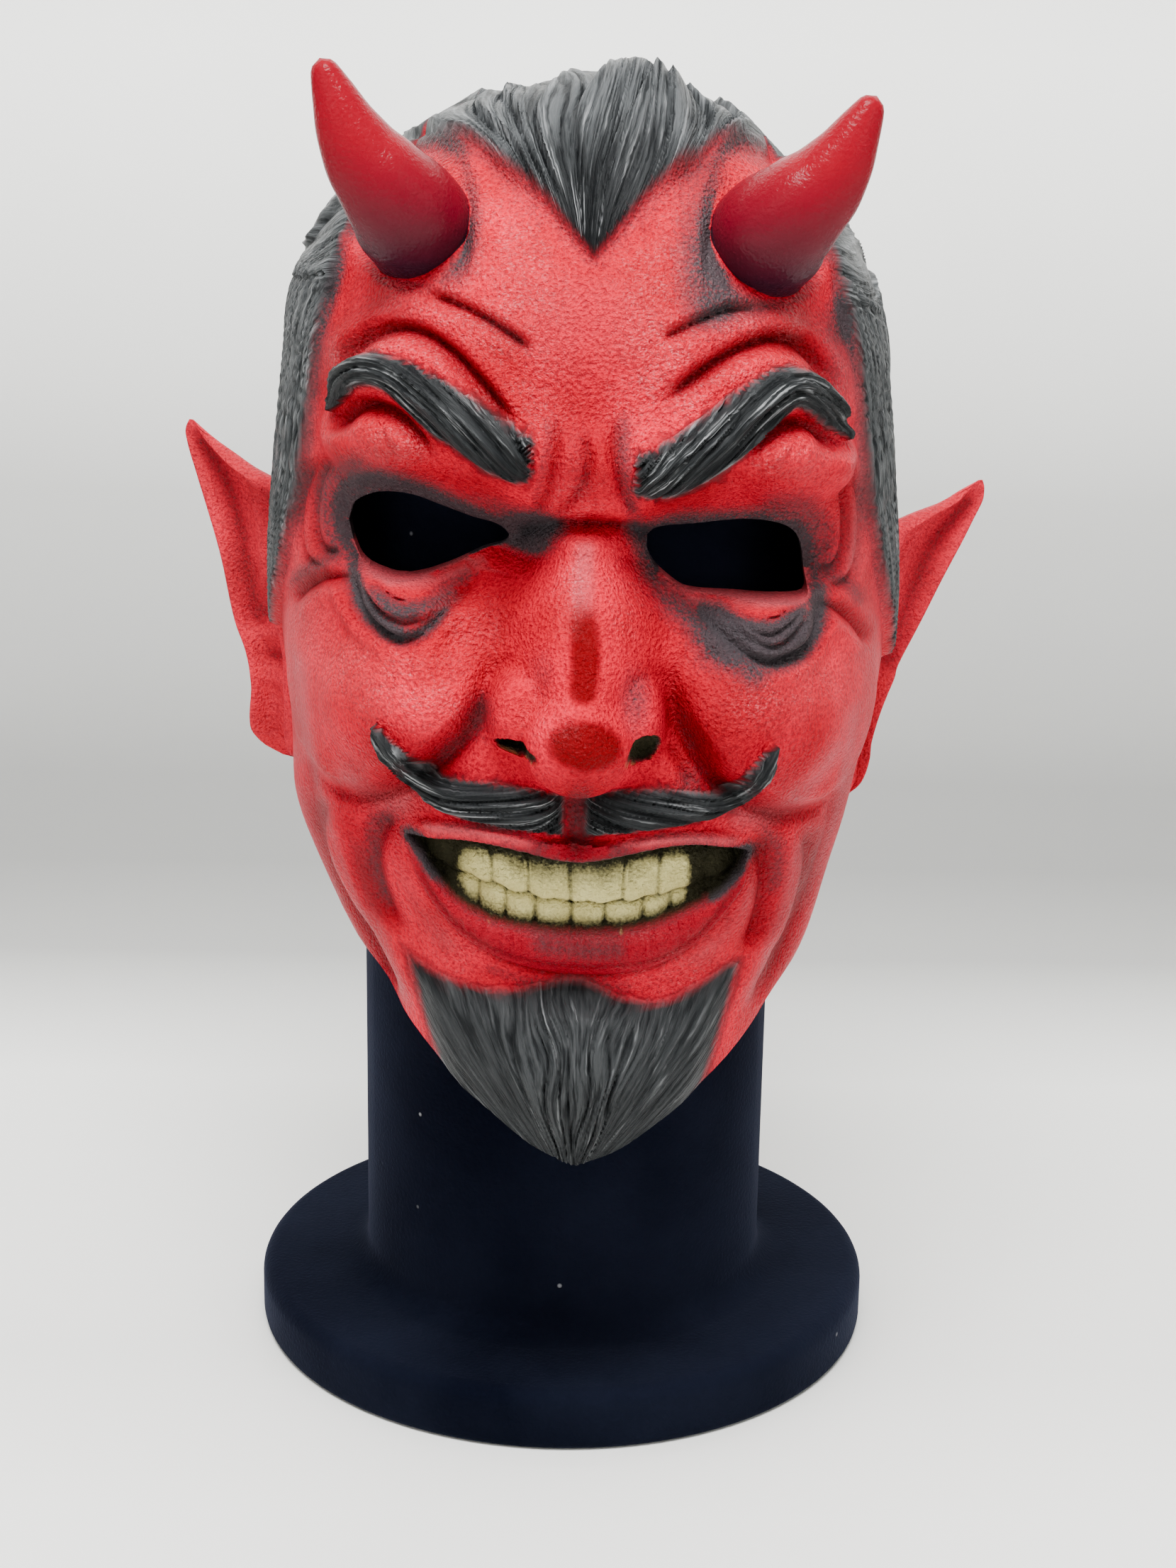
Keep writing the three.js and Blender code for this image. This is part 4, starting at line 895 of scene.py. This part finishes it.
# Pale red: grey-pink overspray under the cheeks, and painted highlights on the nose ridge, jaw folds,
# temples, forehead, lip rims and lower eye-hole rims.
pale = sprayed_on([
    ([(-60, 180.5), (-52, 178.6), (-44, 180)], 3.4, 0.9),
    ([(40, 181.5), (48, 180.8), (58, 184), (66, 192)], 3.0, 0.8),
    ([(0, 246), (-0.5, 238), (0, 231)], 2.4, 0.9),
    ([(-74, 205), (-73, 186), (-70, 168), (-64, 150), (-56, 135)], 2.2, 0.9),
    ([(-57, 160), (-55, 146), (-50, 133), (-44, 122)], 2.2, 0.7),
    ([(70, 200), (69, 180), (66, 164), (60, 148)], 2.4, 0.8),
    ([(56, 168), (54, 154), (50, 140), (45, 128)], 2.2, 0.8),
    ([(-66, 296), (-70, 280), (-71, 262)], 2.4, 0.7),
    ([(65, 296), (69, 278), (70, 258), (68, 240)], 2.4, 0.8),
    ([(-38, 174.6), (-24, 175.6), (-10, 173.6)], 1.3, 0.9),
    ([(8, 174), (22, 176.6), (38, 174.8)], 1.3, 0.9),
    ([(-36, 163), (-29, 156.4), (-19, 151.8), (0, 151)], 1.2, 0.35),
    ([(0, 151), (16, 152.8), (27, 157.5), (35, 163)], 1.2, 0.35),
    ([(-57.5, 239), (-54.5, 235.6), (-48, 233.6)], 1.0, 0.9),
    ([(-48, 233.6), (-41, 234), (-33, 237.4), (-25, 242)], 1.0, 1.0),
    ([(25, 235.2), (36, 233.6), (54, 233)], 1.0, 1.0), ([(-45, 160), (-40.5, 151), (-33, 143)], 2.0, 0.35),
    ([(43.5, 160), (39, 151), (31, 143.5)], 2.0, 0.5),
], [
    (0, 300, 16, 10, 0.15), (47, 180, 9, 3, 0.3),
])
# The side mask holds painted sheen, paler pink on the outer sides of the face, together with the pale marks.
coat(
    head,
    hair=sculpt["hair"], strand=sculpt["tone"], shade=np.clip(shade, 0, 1), ink=ink * sculpt["facing"],
    crease=np.clip(sculpt["dark"] + deep_red_and_shade, 0, 1),
    teeth=np.maximum(ease(0.3, 0.9, sculpt["mouth"]), dark_holes),
    grime=np.clip(grime + 1.5 * (sculpt["nostril"] > 0.02), 0, 1),
    shiny=shiny, lips=sculpt["lips"] * sculpt["facing"], gloss=glossy,
    side=np.clip(0.55 * ease(60, 80, np.abs(face_x)) * sculpt["facing"] + pale, 0, 1),
    comb_u=sculpt["comb_u"], comb_v=sculpt["comb_v"],
)

# Flat ground gives up its points first, and the mesh stays light.
kept_share = 0.32
fewer = head.modifiers.new("fewer", "DECIMATE")
fewer.ratio = kept_share
bpy.ops.object.select_all(action="DESELECT")
head.select_set(True)
bpy.context.view_layer.objects.active = head
bpy.ops.object.modifier_apply(modifier=fewer.name)

# The horns are solid, two blunt cones rooted in the forehead that lean out and bend up.
horn_root = np.array([43.0, -86.0, 322.0])
horn_radius = [(0, 13), (0.3, 13.8), (0.42, 12.4), (0.62, 9.7), (0.8, 6.5), (0.94, 3.7), (1, 2.2)]


def horn_shape(side, tip):
    """A blunt cone that leans out and bends up, with its root sunk in the forehead."""
    middle = (horn_root + tip) / 2 + np.array([1.5, -2, -2])
    path = drawn([horn_root + np.array([-7, 27, -13]), horn_root, middle, tip], 16)
    places = np.linspace(0, 1, len(path))
    ways = np.gradient(path, axis=0)

    def shape(turn, fall):
        t = 1 - fall
        centre = np.stack([np.interp(t, places, path[:, i]) for i in range(3)], 1)
        way = np.stack([np.interp(t, places, ways[:, i]) for i in range(3)], 1)
        way /= np.linalg.norm(way, axis=1)[:, None]
        front = np.array([[0, -1, 0]]) + way * way[:, 1:2]
        front /= np.linalg.norm(front, axis=1)[:, None]
        out = np.cross(way, front)
        tip_round = np.sqrt(1 - np.clip((t - 0.965) / 0.035, 0, 1) ** 2)
        root_round = np.sqrt(1 - np.clip((0.03 - t) / 0.03, 0, 1) ** 2)
        radius = along(horn_radius, t) * tip_round * root_round
        round_it = turn * math.pi
        uneven = 0.02 * np.cos(3 * round_it + 1) + 0.008 * np.sin(t * 40 + 2 * np.sin(round_it))
        outward = front * np.cos(round_it)[:, None] + out * np.sin(round_it)[:, None]
        point = centre + (radius * (1 + uneven))[:, None] * outward
        sculpt["horn"] = np.clip((point[:, 2] - 304) / 50 + 0.15 * t, 0, 1)
        return point[:, 0] * side, point[:, 1], point[:, 2]

    return shape


for side, tip in ((-1, (62.0, -96.0, 355.0)), (1, (64.5, -96.0, 353.0))):
    horn = stretched_ball("horn", 48, 56, horn_shape(side, np.array(tip)))
    coat(horn, horn=0.05 + 0.95 * sculpt["horn"])
    joined(head, horn)

# Each ear: its side, its outer rim and its root by height, how far it sweeps back, its ridges and hollows.
ears = [
    (-1, [(164.5, 86), (167, 92), (170.5, 95.6), (184, 95.1), (193, 96.8), (201.5, 100.3), (221, 104.8),
      (241, 111.3), (252, 115), (257, 113.8)], [(164, 77), (236, 78), (243.5, 86), (246, 93), (249, 99),
      (252.6, 106), (257, 112.5)], 38, [([(111, 251), (105, 241), (100.5, 228), (98, 214), (95.5, 203)],
      -2.6, 2.6), ([(95, 240), (93.5, 228), (93, 218), (94.5, 209)], 1.6, 1.8), ([(88, 238), (87, 225),
      (88, 212), (91, 205)], -3.4, 3.4), ([(85, 203), (89, 200), (93, 198)], 2.0, 2.2), ([(86, 193),
      (91, 192.5)], -2.4, 2.0), ([(86, 186), (90, 186)], 2.0, 3.0)]),
    (1, [(162.5, 77), (166, 80.5), (172, 82.5), (178, 83), (188, 86.2), (200.5, 92.1), (210.5, 97.4),
      (223, 104), (238, 112.7), (245, 116.4), (250.5, 115.8)], [(162, 74), (236, 78), (242, 92),
      (244.7, 102), (248.3, 109.5), (250.5, 114.6)], 40, [([(112, 244), (104, 234), (98, 222), (93, 210),
      (89, 200)], -2.6, 2.6), ([(97, 238), (93, 227), (89.5, 215)], 1.4, 1.8), ([(86, 228), (85, 215),
      (85, 204)], -3.0, 3.2)]),
]


def ear_shape(side, rim, root, sweep, marks):
    """A leaf from the lobe up to a long point, dished in front behind its rim, its root sunk in the head."""
    low, high, lean = rim[0][0], rim[-1][0], math.radians(sweep)

    def shape(turn, fall):
        z = high + (low - high) * np.clip(fall * 1.02 - 0.01, 0, 1)
        inner = along(root, z)
        reach = np.maximum(along(rim, z) - inner, 0.5) / math.cos(lean)
        tip = ease(0, 0.035, fall) * ease(1, 0.965, fall)
        across = 0.5 - 0.5 * np.cos(turn * math.pi)
        over = np.where(np.abs(turn) > 0.999, 0, np.sin(turn * math.pi))
        in_front = over > 1e-6
        thick = np.minimum(4.5, reach * 0.4) * ease(1.05, 0.8, (z - low) / (high - low)) + 0.3
        dish = np.where(in_front, 1.6 * thick * ease(0.25, 0.5, across) * ease(0.98, 0.74, across), 0)
        along_out = reach * across
        seen = inner + along_out * math.cos(lean)
        relief, deep = np.zeros(z.shape), np.zeros(z.shape)
        for points, height, width in marks:
            gap, _, _ = near(drawn(points), seen, z)
            mark = np.exp(-((gap / width) ** 2)) * in_front * np.minimum(1, 3 * np.abs(over))
            relief += height * mark
            deep += np.where(height < 0, mark, 0)
        front = thick * over - dish + relief * np.minimum(1, thick / 3.5)
        least = 1.2 * np.minimum(1, 3 * over) - thick * over
        front = np.where(in_front, np.maximum(front, least), front) * tip
        x = inner + along_out * math.cos(lean) + front * math.sin(lean)
        y = (inner - 78) * math.tan(lean) + along_out * math.sin(lean) - front * math.cos(lean)
        sculpt["deep"] = np.clip(deep, 0, 1)
        return x * side, y, z

    return shape


for side, rim, root, sweep, marks in ears:
    ear = stretched_ball("ear", 64, 104, ear_shape(side, rim, root, sweep, marks))
    # Painted shade in the ear's hollows, and the whole ear a little paler pink.
    coat(ear, shade=0.2 * sculpt["deep"], crease=0.9 * sculpt["deep"], side=0.25)
    joined(head, ear)


# The cast is hollow: its inside follows the skin one wall behind, and the neck and the eyes are cut through.
def cavity_shape(turn, fall):
    """The inside of the cast: the lowest ground of the skin around each place, less the wall."""
    row = np.round(sculpt["fall"] * all_rows).astype(int)
    column = np.round((sculpt["turn"] + 1) / 2 * columns).astype(int) % columns
    grid = np.zeros((all_rows + 1, columns, 7))
    everything = np.column_stack([sculpt["base"], sculpt["way"], sculpt["sunk"]])
    grid[row, column] = everything
    grid[0], grid[-1] = grid[1], grid[-2]
    ground = grid[..., 6]
    for _ in range(8):
        beside = np.minimum(np.roll(ground, 1, 1), np.roll(ground, -1, 1))
        above = np.minimum(np.roll(ground, 1, 0), np.roll(ground, -1, 0))
        ground = np.minimum(ground, np.minimum(beside, above))
    here = np.round(fall * all_rows).astype(int)
    round_it = np.round((turn + 1) / 2 * columns).astype(int) % columns
    base, way = grid[here, round_it, 0:3], grid[here, round_it, 3:6]
    place = base + way * (np.minimum(ground[here, round_it], 4) - wall)[:, None]
    _, _, under = head_place(turn, fall)
    lower = ease(150, 89, base[:, 2])[:, None] * np.array([[0, 0, 2.2]])
    place = (place + lower) * (1 - under[:, None]) + np.array([[0, 4, underside_height + 3]]) * under[:, None]
    return place.T


def punch(name, outline, low, high):
    """A straight cutter with a drawn outline, standing along Z."""
    count = len(outline)
    bpy.ops.object.select_all(action="DESELECT")
    bpy.ops.mesh.primitive_cylinder_add(vertices=count, radius=1, depth=2)
    cutter = bpy.context.object
    cutter.name = name
    for vertex in cutter.data.vertices:
        i = round(math.atan2(vertex.co.y, vertex.co.x) / (2 * math.pi) * count) % count
        vertex.co = (*outline[i], high if vertex.co.z > 0 else low)
    return cutter


cavity = stretched_ball("cavity", 90, all_rows // 5, cavity_shape)
coat(cavity, bare=1.0)
joined(head, cavity, "DIFFERENCE")
opening_radius, opening_back = 0.0596, 0.069
opening_depth = (opening_back + opening_radius) / 2
turning = np.linspace(0, 2 * math.pi, 128, endpoint=False)
opening = np.column_stack([
    opening_radius * np.cos(turning) - 0.003,
    opening_back - opening_depth + opening_depth * np.sin(turning),
])
joined(head, closed_outward(punch("neck_opening", opening, 0.085, 0.148)), "DIFFERENCE")
for outline in (left_eye, right_eye):
    cutter = punch("eye_hole", drawn(outline + outline[:1], 4)[:-1] / 1000, 0.050, 0.125)
    for vertex in cutter.data.vertices:
        vertex.co = (vertex.co.x, -vertex.co.z, vertex.co.y)
    joined(head, closed_outward(cutter), "DIFFERENCE")

# The cut edges of the eye holes are painted over: painted shade, dark, on the upper walls and a thin painted
# highlight of pale red along the lower rims.
corners = np.empty(3 * len(head.data.vertices))
head.data.vertices.foreach_get("co", corners)
corners = corners.reshape(-1, 3) * 1000
rim = np.flatnonzero((corners[:, 1] < -50) & (corners[:, 2] > 225) & (corners[:, 2] < 262))
rim_gap, over_hole = np.full(len(rim), 1e3), np.ones(len(rim), bool)
for outline in eye_outlines:
    gap, _, _ = near(outline, corners[rim, 0], corners[rim, 2], 2)
    closer = gap < rim_gap
    rim_gap[closer] = gap[closer]
    over_hole[closer] = (corners[rim, 2] > outline[:, 1].mean() - 4)[closer]
rim, over_hole = rim[rim_gap < 0.12], over_hole[rim_gap < 0.12]
for name, above, below in (("shade", 1.0, 0.3), ("side", 0.0, 1.0), ("bare", 0.0, 0.0)):
    layer = head.data.attributes[name].data
    values = np.empty(len(layer), np.float32)
    layer.foreach_get("value", values)
    values[rim] = np.where(over_hole, above, below)
    layer.foreach_set("value", values)

# The finished mask hangs a little to one side on the display head, and lower on its left.
shift, slope = 0.003, -0.035
bpy.ops.object.select_all(action="DESELECT")
head.select_set(True)
bpy.context.view_layer.objects.active = head
for vertex in head.data.vertices:
    vertex.co = (vertex.co.x + shift, vertex.co.y, vertex.co.z + slope * vertex.co.x)
head.data.update()
bpy.ops.object.shade_smooth_by_angle(angle=math.radians(60))

# The paint: mottled red, charcoal hair brushed with grey, cream teeth, black airbrushing with painted shade
# in the creases and recesses, painted sheen and glints on the sides and the raised skin, and a little lacquer
# on the horns and the raised skin.
latex = Paint("painted latex")
put, over = latex.put, latex.over
latex_place = latex.object_place()
hair, strand, shade_mask = latex.mask("hair"), latex.mask("strand"), latex.mask("shade")
crease_shade_mask, teeth_mask, grime_mask = latex.mask("crease"), latex.mask("teeth"), latex.mask("grime")
ink_mask, lip_mask, shiny_mask = latex.mask("ink"), latex.mask("lips"), latex.mask("shiny")
gloss_mask, horn_mask, bare_mask, sheen_and_pale_mask = (latex.mask(m) for m in ("gloss", "horn", "bare", "side"))
mottle = latex.noise(latex_place, 45, 4)
speckle = latex.noise(latex_place, 1400, 2)
blotch = latex.noise(latex_place, 160, 4, 0.65)
pores = latex.noise(latex_place, 1100, 2)
comb_axes = {"X": latex.mask("comb_u"), "Y": latex.times(latex.mask("comb_v"), 0.06)}
across_hair = latex.node("CombineXYZ", comb_axes)
fine_hair = latex.noise(across_hair.outputs["Vector"], 1.3, 3, 0.6)
broad_hair = latex.noise(across_hair.outputs["Vector"], 0.35, 2)

red = over(latex.between(mottle, 0.35, 0.68), (0.44, 0.0008, 0.013), (0.74, 0.0022, 0.030))
red = over(latex.between(pores, 0.36, 0.56, 0.55, 0.0), red, (0.22, 0.0005, 0.009))
# Painted sheen and highlights: paler pink on the face's sides and along ridges and rims.
red = over(latex.times(sheen_and_pale_mask, 0.6), red, (0.40, 0.085, 0.100))
red = over(latex.times(lip_mask, 0.8), red, (0.20, 0.002, 0.010))
# Painted shade: deeper red in the creases and hollows.
red = over(latex.times(crease_shade_mask, 0.75), red, (0.10, 0.001, 0.003))
red = over(latex.times(gloss_mask, 0.97), red, (0.14, 0.0, 0.002))
# Painted glints: pinkish-white flecks scattered on the raised skin, where the glint mask also adds a little
# coat.
glint_place = latex.node("VectorMath", {0: latex_place, 1: (1.0, 1.0, 1.7)}, operation="MULTIPLY")
painted_glints = latex.noise(glint_place.outputs["Vector"], 1250, 2, 0.6)
painted_glints = latex.times(latex.between(painted_glints, 0.50, 0.66), latex.between(blotch, 0.40, 0.60))
red = over(latex.times(painted_glints, latex.times(shiny_mask, 0.6)), red, (0.72, 0.15, 0.17))
horn_on = latex.between(horn_mask, 0.0, 0.04)
horn_red = over(latex.between(horn_mask, 0.20, 0.78), (0.022, 0.005, 0.012), (0.215, 0.0003, 0.009))
red = over(horn_on, red, horn_red)
# Black airbrushing and painted shade.
sprayed = latex.between(latex.sum(shade_mask, latex.between(speckle, 0.25, 0.75, -0.2, 0.2)), 0.12, 0.82)
sprayed = latex.times(sprayed, latex.between(shade_mask, 0.0, 0.15))
colour = over(latex.times(sprayed, 0.97), red, (0.034, 0.033, 0.037))
cream = over(latex.between(blotch, 0.3, 0.7), (0.52, 0.45, 0.17), (0.66, 0.59, 0.25))
# Painted shade in the mouth's recesses and nostrils, and darker gaps between the teeth.
recess_dark = latex.between(latex.sum(grime_mask, latex.between(speckle, 0.3, 0.7, -0.12, 0.12)), 0.15, 0.86)
cream = over(latex.times(recess_dark, 0.97), cream, (0.005, 0.005, 0.0045))
colour = over(teeth_mask, colour, cream)
charcoal = over(latex.between(strand, 0.15, 0.85), (0.010, 0.011, 0.012), (0.078, 0.083, 0.086))
charcoal = over(latex.between(fine_hair, 0.54, 0.38, 0.0, 0.85), charcoal, (0.008, 0.009, 0.010))
streaks = latex.times(latex.between(broad_hair, 0.48, 0.6), latex.between(fine_hair, 0.54, 0.64))
streaks = latex.times(streaks, latex.between(strand, 0.45, 0.75))
streaks = latex.times(streaks, latex.between(ink_mask, 0.6, 0.8, 0.45, 0.75))
charcoal = over(latex.times(ink_mask, 0.88), charcoal, (0.0035, 0.004, 0.0045))
charcoal = over(streaks, charcoal, (0.36, 0.37, 0.38))
colour = over(hair, colour, charcoal)
colour = over(bare_mask, colour, (0.09, 0.035, 0.030))
put(latex.finish.inputs["Base Color"], colour)

roughness = latex.between(blotch, 0.3, 0.7, 0.30, 0.42)
roughness = latex.sum(roughness, latex.times(gloss_mask, -0.2))
roughness = latex.sum(roughness, latex.times(horn_on, -0.08))
roughness = latex.sum(roughness, latex.times(teeth_mask, 0.12))
put(latex.finish.inputs["Roughness"], roughness)
latex.finish.inputs["Specular IOR Level"].default_value = 0.03
coat_weight = latex.times(horn_on, 0.12)
coat_weight = latex.sum(coat_weight, latex.times(shiny_mask, 0.22))
put(latex.finish.inputs["Coat Weight"], latex.sum(coat_weight, 0.01))
latex.finish.inputs["Coat Roughness"].default_value = 0.2
smooth = latex.sum(latex.sum(1.0, hair, "SUBTRACT"), latex.times(horn_on, 0.8), "SUBTRACT")
wrinkles = latex.noise(latex_place, 330, 3, 0.6)
pitted = latex.bump(latex.times(pores, smooth), 0.0012, 1.0)
lumpy = latex.bump(latex.times(wrinkles, smooth), 0.0016, 0.3, pitted)
relief = latex.bump(latex.times(fine_hair, hair), 0.0012, 0.8, lumpy)
put(latex.finish.inputs["Normal"], relief)
put(latex.finish.inputs["Coat Normal"], relief)
head.data.materials.clear()
head.data.materials.append(latex.material)
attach(head, "root")
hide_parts("devil_mask")

# Floor
# A pale sheet of paper laid on a table and swept up in one curve far behind the mask, so that it can be seen
# from all round. Light falls off along it, which its tone follows from the front edge to the top.
floor_half, sweep_start, sweep_top, sweep_lean, sweep_curve = 2.2, 1.2, 2.0, 0.12, 0.5
bpy.ops.object.select_all(action="DESELECT")
bpy.ops.mesh.primitive_grid_add(x_subdivisions=2, y_subdivisions=2, size=2 * floor_half)
floor = bpy.context.object
floor.name = "paper_floor"
bpy.ops.object.mode_set(mode="EDIT")
sheet = bmesh.from_edit_mesh(floor.data)
for vertex in sheet.verts:
    vertex.co.y = min(vertex.co.y, sweep_start) if vertex.co.y > 0.1 else vertex.co.y
for edge in sheet.edges:
    edge.select_set(all(v.co.y > sweep_start - 1e-4 for v in edge.verts))
bmesh.update_edit_mesh(floor.data)
bpy.ops.mesh.select_mode(type="EDGE")
bpy.ops.mesh.extrude_region_move(TRANSFORM_OT_translate={"value": (0, sweep_lean, sweep_top)})
sheet = bmesh.from_edit_mesh(floor.data)
for edge in sheet.edges:
    edge.select_set(all(abs(v.co.y - sweep_start) < 1e-4 and v.co.z < 1e-4 for v in edge.verts))
bmesh.update_edit_mesh(floor.data)
bpy.ops.mesh.bevel(offset=sweep_curve, segments=32)
bpy.ops.object.mode_set(mode="OBJECT")
bpy.ops.object.shade_smooth()
paper = Paint("pale paper")
paper_place = paper.object_place()
paper_axes = paper.node("SeparateXYZ", {"Vector": paper_place})
paper_run = paper.sum(paper_axes.outputs["Y"], paper_axes.outputs["Z"])
paper_tone = paper.between(paper_run, 0.17, 0.31, 0.75, 0.30)
for start, end, first, last in (
    (-0.12, -0.04, 0.17, 0.0), (0.31, 0.44, 0.0, -0.09), (0.60, 1.10, 0.0, 0.18), (1.10, 1.62, 0.0, 0.58)
):
    paper_tone = paper.sum(paper_tone, paper.between(paper_run, start, end, first, last))
paper_tone = paper.times(paper_tone, paper.between(paper.noise(paper_place, 3, 2), 0.3, 0.7, 0.96, 1.02))
paper_colour = paper.over(paper_tone, (0.0, 0.0, 0.0), (1.0, 1.0, 0.975))
paper.put(paper.finish.inputs["Base Color"], paper_colour)
paper.finish.inputs["Roughness"].default_value = 0.7
floor.data.materials.append(paper.material)

# Light and camera
# Soft studio light: one big lamp above and in front, a weak one at each side and one for the paper behind.
# The camera looks down on the mask from where the photograph was taken.
def soft_light(name, place, aim, width, height, power):
    """A rectangular lamp at a place, turned towards its aim."""
    lamp = bpy.data.lights.new(name, "AREA")
    lamp.shape = "RECTANGLE"
    lamp.size, lamp.size_y, lamp.energy = width, height, power
    light = bpy.data.objects.new(name, lamp)
    bpy.context.scene.collection.objects.link(light)
    light.location = place
    light.rotation_euler = (Vector(aim) - Vector(place)).to_track_quat("-Z", "Y").to_euler()


soft_light("overhead", (-0.05, -0.55, 1.3), (0, -0.02, 0.25), 0.7, 0.45, 39)
soft_light("window", (-0.9, -1.1, 0.8), (0, 0, 0.22), 0.7, 0.7, 3)
soft_light("fill", (1.1, -0.9, 0.7), (0, 0, 0.22), 0.7, 0.7, 3)
soft_light("backdrop", (0, 0.70, 1.30), (0, 1.2, 0.50), 2.0, 0.3, 29)
world = bpy.data.worlds.new("studio")
world.use_nodes = True
world.node_tree.nodes["Background"].inputs["Color"].default_value = (1, 1, 1, 1)
world.node_tree.nodes["Background"].inputs["Strength"].default_value = 0.28
bpy.context.scene.world = world

pitch, roll = math.radians(15.3), math.radians(0.87)
camera_place, lens_length, film_width, frame_shift = Vector((0, -0.6534, 0.3402)), 54.1, 36, 0.012
forward = Vector((0, math.cos(pitch), -math.sin(pitch)))
level_up = Vector((0, math.sin(pitch), math.cos(pitch)))
right = math.cos(roll) * Vector((1, 0, 0)) + math.sin(roll) * level_up
up = -math.sin(roll) * Vector((1, 0, 0)) + math.cos(roll) * level_up
view = Matrix((right, up, -forward)).transposed().to_4x4()
view.translation = camera_place
lens = bpy.data.cameras.new("camera")
lens.lens, lens.sensor_width, lens.shift_x = lens_length, film_width, frame_shift
lens.dof.use_dof = False
camera = bpy.data.objects.new("camera", lens)
bpy.context.scene.collection.objects.link(camera)
camera.matrix_world = view
bpy.context.scene.camera = camera
